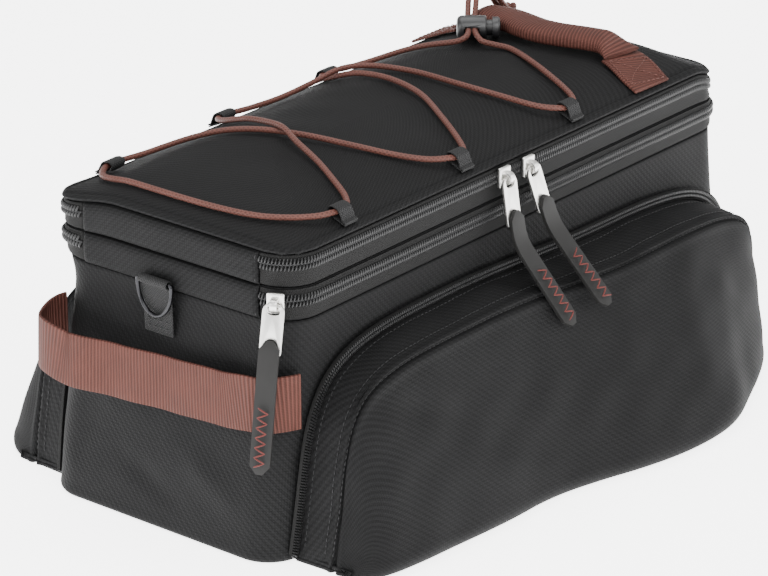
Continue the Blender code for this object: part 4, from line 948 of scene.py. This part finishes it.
def hinge_panel(name, node, low, high):
    """A padded patch on the -X end: a pillow profile across its height, pinched at its two sewn sides."""
    across = np.linspace(-1.0, 1.0, 120)
    reach = ZIP_END - 0.0003
    rise = np.linspace(0.0, 1.0, 24)
    pillow = (1.0 - np.abs(2 * rise - 1) ** 4) ** 0.7
    ends = 0.35 + 0.65 * np.clip((1.0 - np.abs(across)) / 0.05, 0, 1) ** 0.5
    out = 0.0006 + 0.0029 * pillow[:, None] * ends
    y = np.broadcast_to(across * reach, out.shape)
    z = np.broadcast_to((low + (high - low) * rise)[:, None], out.shape)
    x = BAG_X - LID_LENGTH - out
    points = np.stack((x, y, z), axis=-1)
    points[..., 0] += 0.00025 * rumple(points, 21, 0.03) * pillow[:, None]
    panel = surface(name, points, flip=True)
    dress(solid_cloth(panel, 0.0006), LOOKS["body"], replaces=(node,))
    for side in (-1.0, 1.0):
        for inset in (0.0016, 0.0042):
            height = np.linspace(low + 0.001, high - 0.001, 30)
            face, edge = np.full(30, BAG_X - LID_LENGTH - 0.0022), np.full(30, side * (reach - inset))
            line = np.stack((face, edge, height), axis=1)
            stitches(f"{name}_stitches_{'near' if side < 0 else 'far'}_{int(inset * 10000)}", line,
                     np.array([-1.0, 0.0, 0.0]), "black_thread")


def stitches(name, path, outward, finish, length=0.0024, gap=0.0009, radius=0.00028):
    """A row of sewing stitches: short rounded bars that dive into the cloth at both ends."""
    run = travelled(path)
    count = max(1, int(run[-1] / (length + gap)))
    at = (np.arange(count) + 0.5) * run[-1] / count
    place, tangent, out = places_on(path, outward, at)
    return bars(name, place, tangent, out, length, radius, finish)


def bars(name, place, tangent, out, length, radius, finish, body=BAG):
    """One stitch at each place: a bar of thread along the tangent that dips at its two ends."""
    share = np.linspace(-1.0, 1.0, 5)
    bar = np.stack((share * length / 2, np.zeros(5), radius * (0.9 - 1.3 * share ** 2)), axis=1)
    ring = oval(2.0, 2.0, 6)[None] * (radius * (1.0 - 0.45 * share ** 4))[:, None, None]
    axes = np.stack((tangent, np.cross(out, tangent), out), axis=1)
    made = scattered(name, sweep(bar, np.array([0.0, 0.0, 1.0]), ring), place, axes)
    return dress(made, LOOKS[finish], body)


body_shell()
rim("padded_rim_lower", "rim_lower", BODY_HEIGHT, BODY_HEIGHT + BAND_HEIGHT - 0.0003)
rim("padded_rim_upper", "rim_upper", BODY_HEIGHT + BAND_HEIGHT, LID_SEAM - 0.0003)
lid_panel()
lid_zip("lid_zip_lower", "zip_lower", BODY_HEIGHT + 0.62 * BAND_HEIGHT, BODY_HEIGHT + 0.0012,
        BODY_HEIGHT + BAND_HEIGHT - 0.0008)
lid_zip("lid_zip_upper", "zip_upper", BODY_HEIGHT + 1.70 * BAND_HEIGHT, BODY_HEIGHT + BAND_HEIGHT + 0.0008,
        LID_SEAM - 0.0004)
hinge_panel("hinge_panel_lower", "hinge_band_lower", BODY_HEIGHT, BODY_HEIGHT + BAND_HEIGHT - 0.0003)
hinge_panel("hinge_panel_upper", "hinge_band_upper", BODY_HEIGHT + BAND_HEIGHT, LID_SEAM - 0.0003)


# Side pockets

def rounded_end(along, power):
    """A share that falls to nothing at both ends: (1 - |x|^p)^(1/p)."""
    return np.maximum(0.0, 1.0 - np.abs(along) ** power) ** (1.0 / power)


def pocket_arch(along, which, half, height):
    """A squared-off arch on the wall, x and z: |x|^p + z^p = 1, drawn in as it rises.

    which is 0 for the zip and 1 for the seam.
    """
    up = np.sqrt(np.maximum(0.0, 1.0 - along ** 2))
    power, lean, left = (np.where(along > 0.0, POCKET_ENDS[1][k], POCKET_ENDS[0][k]) for k in (which, 2, 3))
    reach = (np.abs(along) ** power + up ** power) ** (-1.0 / power)
    return BAG_X + half * left ** which * along * reach * (1.0 - lean * up * reach), height * up * reach


def wall_back(x):
    """How far from the middle line a pocket begins: the floor's outline, drawn in round its corners."""
    past = np.clip(np.abs(x - BAG_X) - (FLOOR_LENGTH - FLOOR_CORNER), 0.0, FLOOR_CORNER)
    return FLOOR_WIDTH - FLOOR_CORNER + np.sqrt(FLOOR_CORNER ** 2 - past ** 2) + GAP


def pocket_grid(columns=260, gusset_rows=20, belly_rows=60):
    """The pocket's outer face: a gusset from the zip out to the seam, then a belly down to the floor.

    The belly's section is cos and sin to the power 2 / 1.13, turned under along a quarter circle at the foot.
    The columns stop just short of the ends, where the face would have no height.
    """
    along = -np.cos(math.pi * np.linspace(0.002, 0.998, columns))
    tall, wide, full = (from_table(POCKET_FILL, along, k) for k in (1, 2, 3))
    half = POCKET_LENGTH - POCKET_ZIP
    root_x, root = pocket_arch(along, 0, half, POCKET_HEIGHT * tall - POCKET_ZIP)
    seam_x, seam = pocket_arch(along, 1, half - SEAM_INSET, (POCKET_HEIGHT - SEAM_DROP) * tall)
    back = wall_back(root_x)
    out = FLOOR_WIDTH + GAP + wide * GUSSET
    share = np.linspace(0.0, 1.0, gusset_rows)[:, None]
    puff = GUSSET_PUFF * np.sin(math.pi * share) * root / POCKET_HEIGHT
    gusset = np.stack((root_x + (seam_x - root_x) * share, back + (out - back) * share,
                       root + (seam - root) * share + puff), axis=-1)
    floor_power = np.where(along > 0.0, POCKET_ENDS[1][4], POCKET_ENDS[0][4])
    belly = full * BELLY * rounded_end(along, floor_power)
    angle = np.linspace(0.0, math.pi / 2, belly_rows)[1:, None]
    low = seam * np.cos(angle) ** (2.0 / BELLY_POWER)
    tuck = np.minimum(TUCK, seam)
    near = np.clip(1.0 - low / np.maximum(GAP, tuck), 0.0, 1.0)
    reach = out + belly * np.sin(angle) ** (2.0 / BELLY_POWER) - tuck * (1.0 - np.sqrt(1.0 - near ** 2))
    front = np.stack((np.broadcast_to(seam_x, low.shape), np.maximum(reach, back), low), axis=-1)
    return np.concatenate((gusset, front)), gusset_rows - 1


# Folds in a pocket: start, end, half width and height, in millimetres
POCKET_CREASES = (
    ((-150, 104, 84), (-95, 118, 60), 7.0, -1.4),
    ((-140, 122, 44), (-60, 132, 22), 11.0, 1.0),
    ((20, 118, 84), (90, 130, 70), 12.0, -0.9),
    ((110, 118, 74), (150, 128, 40), 9.0, 1.3),
    ((60, 140, 40), (140, 140, 16), 12.0, -1.3),
    ((-40, 126, 60), (30, 138, 30), 14.0, 1.1),
)


def pocket(side, name):
    """One side pocket: shell, piped seam, stitch line, zip tape and coil, and its floor."""
    points, seam_row = pocket_grid()
    normals = grid_normals(points)
    normals *= np.sign(np.sum(normals * np.array([0.0, 0.6, 0.8]), axis=-1, keepdims=True).mean())
    distance = np.cumsum(np.linalg.norm(np.diff(points, axis=0, prepend=points[:1]), axis=-1), axis=0)
    from_seam = distance - distance[seam_row]
    free = np.clip(points[..., 2] / 0.012, 0, 1) * ease(distance / 0.008)
    flip = np.array([1.0, side, 1.0])
    soft = 0.0012 * rumple(points * flip, 31 + int(side), 0.085)
    soft += 0.0006 * rumple(points, 33 + int(side), 0.032)
    shift = free * (soft + creases(points, POCKET_CREASES) - 0.0003)
    shift -= 0.0016 * np.exp(-((from_seam - 0.0016) / 0.0010) ** 2)
    shift += 0.0010 * np.exp(-((from_seam + 0.0006) / 0.0014) ** 2)
    shift += 0.0008 * np.exp(-((from_seam - 0.0048) / 0.0020) ** 2)
    points = points + normals * shift[..., None]
    column = np.arange(points.shape[1])
    from_end = np.minimum(column, column[::-1])
    lift = CLOTH * (1.0 - ease((from_end - 5.0) / 5.0))
    points[..., 2] = np.maximum(points[..., 2], lift)
    outside = points * flip
    inner = np.linspace(1.0, 0.0, 9)[1:, None, None]
    edge = points[-1]
    back = wall_back(edge[:, 0])
    floor = np.stack((np.broadcast_to(edge[:, 0], (8, len(edge))), back + (edge[:, 1] - back) * inner[..., 0],
                      np.broadcast_to(lift, (8, len(edge)))), axis=-1) * flip
    shell = weld(surface(f"{name}_shell", np.concatenate((outside, floor)), flip=side < 0))
    dress(solid_cloth(shell, CLOTH), LOOKS["pocket"], replaces=(name,))
    for label, row in (("by_zip", 4), ("by_seam", seam_row - 4), ("below_seam", seam_row + 4)):
        out = normals[row, 6:-6] * flip
        stitches(f"{name}_stitches_{label}", outside[row, 6:-6] + out * 0.0002, out, "black_thread",
                 0.0022, 0.0010, 0.00022)
    pocket_zip(side, name)


# Section of a pocket's zip rail, in millimetres: across and out
RAIL = (
    (-3.0, -0.7), (-3.05, 0.9), (-2.75, 1.25), (-2.3, 0.55), (0.0, 0.35),
    (2.3, 0.55), (2.75, 1.25), (3.05, 0.9), (3.0, -0.7),
)


def pocket_zip(side, name):
    """The arch of tape and coil that opens a pocket: a raised rail with a lip along each edge."""
    along = -np.cos(math.pi * np.linspace(0.0, 1.0, 500))
    middle = POCKET_ZIP / 2
    crest = POCKET_HEIGHT * from_table(POCKET_FILL, along, 1) - middle
    x, rise = pocket_arch(along, 0, POCKET_LENGTH - middle, crest)
    path = np.stack((x, side * (wall_back(x) + 0.0008), np.maximum(rise, 0.0032)), axis=1)
    path = evenly(path, 420)
    out = np.array([0.0, side, 0.0])
    tape = surface(f"{name}_zip_tape", sweep(path, out, np.array(RAIL) / 1000), wrap=True, caps=True, sharp=70)
    dress(tape, LOOKS["tape"], replaces=(name.replace("pocket", "pocket_zip"),))
    outward = np.broadcast_to(out, path.shape)
    coil(f"{name}_zip", path + outward * 0.0005, outward, POCKET_COIL)


pocket(-1.0, "pocket_near")
pocket(1.0, "pocket_far")


# Webbing

def handle_middle(share):
    """Middle line of the handle over the lid, from its near edge (-1) to its far one (1)."""
    return HANDLE_X + HANDLE_SWAY * from_table(HANDLE_ROUTE, share, 1), share * (LID_WIDTH - 0.0010)


def carry_handle():
    """Two flat sewn ends, and a grip of webbing folded into a roll that flattens where it joins them."""
    flat_share = 1.0 - HANDLE_FLAT / LID_WIDTH
    for name, side in (("near", -1.0), ("far", 1.0)):
        share = side * np.linspace(1.0, flat_share, 40)
        x, y = handle_middle(share)
        up = lid_normal(x, y)
        path = np.column_stack((x, y, lid_top(x, y))) + up * (0.0007 + WEBBING / 2)
        strap = strip(f"handle_{name}_end", path, up, HANDLE_WIDTH, WEBBING)
        dress(strap, LOOKS["brown_web"], replaces=(f"handle_end_{name}",))
        box_stitches(f"handle_{name}_box", path, up, HANDLE_WIDTH, 4, -8)
    share = np.linspace(-1.0, 1.0, 120)
    reach = flat_share * 1.05
    x, y = handle_middle(share * reach)
    lid = lid_top(x, y)
    end_low = lid_top(*handle_middle(np.array([flat_share])))[0] + 0.0006 + WEBBING + 0.0009 + 0.0036
    grip_high = lid_top(np.array([HANDLE_X]), np.array([0.0]))[0] + GRIP_RISE + GRIP_THICKNESS / 2
    inside = np.clip(share * reach / (flat_share * 1.02), -1.0, 1.0)
    height = end_low + (grip_high - end_low) * np.cos(0.5 * math.pi * inside) ** 0.8
    flat = ease((np.abs(share) - 0.74) / 0.24)
    laid = lid + 0.0006 + 0.0003 + WEBBING + 0.0014
    height += (laid - height) * flat
    width = GRIP_WIDTH + (HANDLE_WIDTH - 0.0250) * flat
    thick = GRIP_THICKNESS * (1.0 - flat) + 0.0026 * flat
    path = np.column_stack((x, y, height))
    ring = oval(1.0, 1.0, 40, 0.72)
    lip = 0.035 * np.exp(-((np.arctan2(ring[:, 1], ring[:, 0]) + 0.6) / 0.16) ** 2)
    profile = ring[None] * (1.0 - lip)[None, :, None] * np.stack((width, thick), axis=1)[:, None]
    tangent = heading(path)
    up = square_to(np.broadcast_to(np.array([0.0, 0.0, 1.0]), path.shape), tangent)
    grip = surface("handle_grip_roll", sweep(path, up, profile), wrap=True, caps=True)
    dress(grip, LOOKS["brown_web"], replaces=("handle_grip",))


def box_stitches(name, path, up, width, first, last):
    """Thread round a sewn patch of webbing and across its two diagonals."""
    part = path[first:last]
    out = np.broadcast_to(up, path.shape)[first:last]
    side = np.cross(heading(path), np.broadcast_to(up, path.shape))[first:last]
    lift = out * (WEBBING / 2 + 0.0001)
    reach = side * (width / 2 - 0.0022)
    share = np.linspace(-1.0, 1.0, len(part))[:, None]
    lines = {
        "left": part - reach, "right": part + reach,
        "cross_a": part + reach * share, "cross_b": part - reach * share,
    }
    for label, line in lines.items():
        stitches(f"{name}_{label}", line + lift, out, "brown_thread")
    for label, k in (("start", 0), ("end", -1)):
        line = part[k] + reach[k] * np.linspace(-1.0, 1.0, 12)[:, None] + lift[k]
        stitches(f"{name}_{label}", line, out[k], "brown_thread")


def end_strap():
    """Slack webbing across the -X end: the body's outline pushed out by its slack and let down by its sag."""
    half_length, half_width, corner = wall_sizes(STRAP_HEIGHT - STRAP_SAG - STRAP_WIDTH / 2)
    lift = 0.0003 + 0.0006 + WEBBING / 2
    ring = rounded_rectangle(half_length + lift, half_width + lift, corner + lift, 2400)
    ring = np.roll(ring, 1200, axis=0)
    kept = ring[ring[:, 0] < BAG_X - STRAP_SEW][::-1]
    path = evenly(kept, 260)
    across = path[:, 1] / half_width
    fade = np.clip((BAG_X - STRAP_SEW - path[:, 0]) / 0.012, 0.0, 1.0)
    tangent = heading(path)
    outward = np.stack((-tangent[:, 1], tangent[:, 0]), axis=1)
    outward *= np.sign(np.sum(outward * (path - np.array([BAG_X, 0.0])), axis=1))[:, None]
    slack = from_table(STRAP_ROUTE, across, 1) * STRAP_SLACK * fade
    sag = from_table(STRAP_ROUTE, across, 2) * STRAP_SAG
    pushed = path + outward * slack[:, None]
    line = np.column_stack((pushed, STRAP_HEIGHT - sag))
    kernel = np.hanning(15) / np.hanning(15).sum()
    padded = np.pad(line, ((7, 7), (0, 0)), mode="reflect", reflect_type="odd")
    line = np.stack([np.convolve(padded[:, k], kernel, mode="valid") for k in range(3)], axis=1)
    out = np.column_stack((outward, np.zeros(len(outward))))
    strap = strip("end_strap_webbing", line, out, STRAP_WIDTH, WEBBING, 36, 0.22)
    dress(strap, LOOKS["brown_web"], replaces=("end_strap",))


def web_loop(name, origin, inward, up, width, tail, eye_length, eye_height, tail_web, replaces):
    """A folded tab: webbing that runs along the cloth, round an oval eye and back on itself."""
    web = 0.0010
    out_length, out_height = eye_length / 2 + web, eye_height / 2 + web
    angle = np.linspace(-math.pi / 2, math.pi / 2 + 0.5, 24)
    bend = np.stack((out_length + (out_length - web / 2) * np.cos(angle),
                     out_height + (out_height - web / 2) * np.sin(angle)), axis=1)
    laid = tail_web - web / 2
    lift = tail_web + 0.15 * eye_height
    back = np.array([(-0.10 * out_length, lift), (-0.35 * tail, laid + 0.0001), (-tail, laid)])
    flat = np.concatenate((np.array([(-tail, web / 2), (0.3 * out_length, web / 2)]), bend, back))
    flat = evenly(flat, 70)
    path = origin + flat[:, :1] * inward + flat[:, 1:] * up
    tangent = heading(path)
    across = np.cross(inward, up)
    outward = np.cross(tangent, np.broadcast_to(across, path.shape))
    loop = strip(name, path, outward, width, web * 0.96, 20, 0.35)
    return dress(loop, LOOKS["black_web"], replaces=replaces)


# Where the loops sit along the lid, as shares of its half length
LOOPS = (
    # name, side, along
    ("near_1", -1.0, -0.745),
    ("near_2", -1.0, -0.236),
    ("near_3", -1.0, 0.273),
    ("far_1", 1.0, -0.825),
    ("far_2", 1.0, -0.354),
    ("far_3", 1.0, 0.107),
)


def cord_loops():
    """Six short tabs of black webbing, sewn in along the lid's long edges."""
    for name, side, along in LOOPS:
        x, y = BAG_X + along * LID_LENGTH, side * (LID_WIDTH - 0.0045)
        up = lid_normal(np.array([x]), np.array([y]))[0]
        inward = square_to(np.array([0.0, -side, 0.0]), up)
        origin = np.array([x, y, lid_top(x, y)]) + up * 0.0006
        web_loop(f"web_loop_{name}", origin, inward, up, 0.0100, 0.0035, 0.0076, 0.0046, 0.0020,
                 (f"cord_loop_{name}",))


def ring_and_web():
    """The D-ring of round wire and the web that holds its bar."""
    wire = 0.0022
    low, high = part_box("d_ring")
    middle_y, bar_z = (low.y + high.y) / 2, high.z - wire / 2 + 0.0002
    bar_x = (low.x + high.x) / 2
    half, drop = (high.y - low.y) / 2 - wire / 2, high.z - low.z - wire
    angle = np.linspace(math.pi, TURN, 60)
    bow = np.stack((half * np.cos(angle), (drop - 0.0020) * np.sin(angle) - 0.0020), axis=1)
    bar = np.linspace(half - 0.0010, -half + 0.0010, 20)
    straight = np.stack((bar, np.zeros(20)), axis=1)
    flat = np.concatenate((bow, [[half, -0.0008]], straight, [[-half, -0.0008]], bow[:1]))
    flat = evenly(flat, 160)
    path = np.column_stack((np.full(160, bar_x), middle_y + flat[:, 0], bar_z + flat[:, 1]))
    round_wire = sweep(path, np.array([-1.0, 0.0, 0.0]), oval(wire, wire, 18))
    ring = surface("steel_d_ring", round_wire, wrap=True, caps=True)
    dress(ring, LOOKS["gunmetal"], body="ring", replaces=("d_ring",))
    eye = wire + 0.0010
    out_height = eye / 2 + 0.0010
    bar_height = 0.1330
    tail = 0.0270
    foot_height = bar_height - out_height - tail
    foot_x = BAG_X - wall_sizes(foot_height)[0] - 0.0006
    top_x = min(BAG_X - LID_LENGTH - 0.0036 - 0.0009, foot_x)
    foot = np.array([foot_x, middle_y, foot_height])
    top = np.array([top_x, middle_y, bar_height - out_height])
    rise = unit(top - foot)
    out = np.cross(np.array([0.0, -1.0, 0.0]), rise)
    web_loop("ring_web", top, rise, out, 0.0195, tail, eye, eye, 0.0010, ("d_ring_web",))
    across = np.array([0.0, 1.0, 0.0]) * np.linspace(-0.0080, 0.0080, 10)[:, None]
    for k, height in enumerate((0.0035, 0.0075, 0.0200, 0.0240)):
        line = foot + rise * height + out * 0.0011 + across
        stitches(f"ring_web_stitches_{k}", line, out, "black_thread")


carry_handle()
end_strap()
cord_loops()
ring_and_web()


# Red zigzags on the rubber tabs

def zigzag(pull, turns=6, reach=0.0027):
    """Crossing legs of thread over the lower half of a tab, laid on a cubic fitted to its bent middle."""
    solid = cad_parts[f"pull_tab_{pull}"]
    corners = np.empty(len(solid.data.vertices) * 3)
    solid.data.vertices.foreach_get("co", corners)
    turned = np.array(solid.matrix_world)
    corners = corners.reshape(-1, 3) @ turned[:3, :3].T + turned[:3, 3]
    centre = corners.mean(axis=0)
    axes = np.linalg.svd(corners - centre, full_matrices=False)[2]
    long, wide, out = axes[0] * -np.sign(axes[0, 2]), axes[1], axes[2]
    out = out * np.sign(out @ np.array([-0.3, -1.0, 0.1]))
    local = (corners - centre) @ np.stack((long, wide, out)).T
    aside, height = np.polyfit(local[:, 0], local[:, 1], 3), np.polyfit(local[:, 0], local[:, 2], 3)
    lift = np.percentile(local[:, 2] - np.polyval(height, local[:, 0]), 96) + 0.0002
    last = local[:, 0].max() - 0.0040
    at = np.linspace(last - 0.0310, last, 2 * turns + 1)
    across = np.polyval(aside, at) + reach * np.where(np.arange(len(at)) % 2, 1.0, -1.0)
    path = centre + np.stack((at, across, np.polyval(height, at) + lift), axis=1) @ np.stack((long, wide, out))
    leg = path[1:] - path[:-1]
    tangent = unit(leg)
    facing = square_to(np.broadcast_to(out, leg.shape), tangent)
    length = np.linalg.norm(leg, axis=1).mean() * 1.02
    bars(f"tab_zigzag_{pull}", (path[1:] + path[:-1]) / 2, tangent, facing, length, 0.00045, "red_thread",
         f"pull_{pull}")


for pull in ("upper_left", "upper_right", "lower"):
    zigzag(pull)


# Hard pieces that keep their solids

def keep_solid(node, finish, width=0.0003):
    """A node with its own shape: welded, with rounded edges, under a new finish."""
    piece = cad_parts[node]
    weld = piece.modifiers.new("weld", "WELD")
    weld.merge_threshold = 0.00001
    edges = piece.modifiers.new("edges", "BEVEL")
    edges.width = width
    edges.segments = 3
    edges.limit_method = "ANGLE"
    edges.angle_limit = math.radians(38)
    edges.harden_normals = False
    piece.data.shade_smooth()
    piece.data.materials.clear()
    piece.data.materials.append(LOOKS[finish])


for pull in ("upper_left", "upper_right", "lower"):
    keep_solid(f"slider_{pull}", "silver", 0.0004)
    keep_solid(f"pull_plate_{pull}", "silver", 0.0003)
    keep_solid(f"pull_tab_{pull}", "rubber", 0.0004)
keep_solid("cord_lock_barrel", "plastic", 0.0004)
keep_solid("cord_lock_plunger", "plastic", 0.0004)
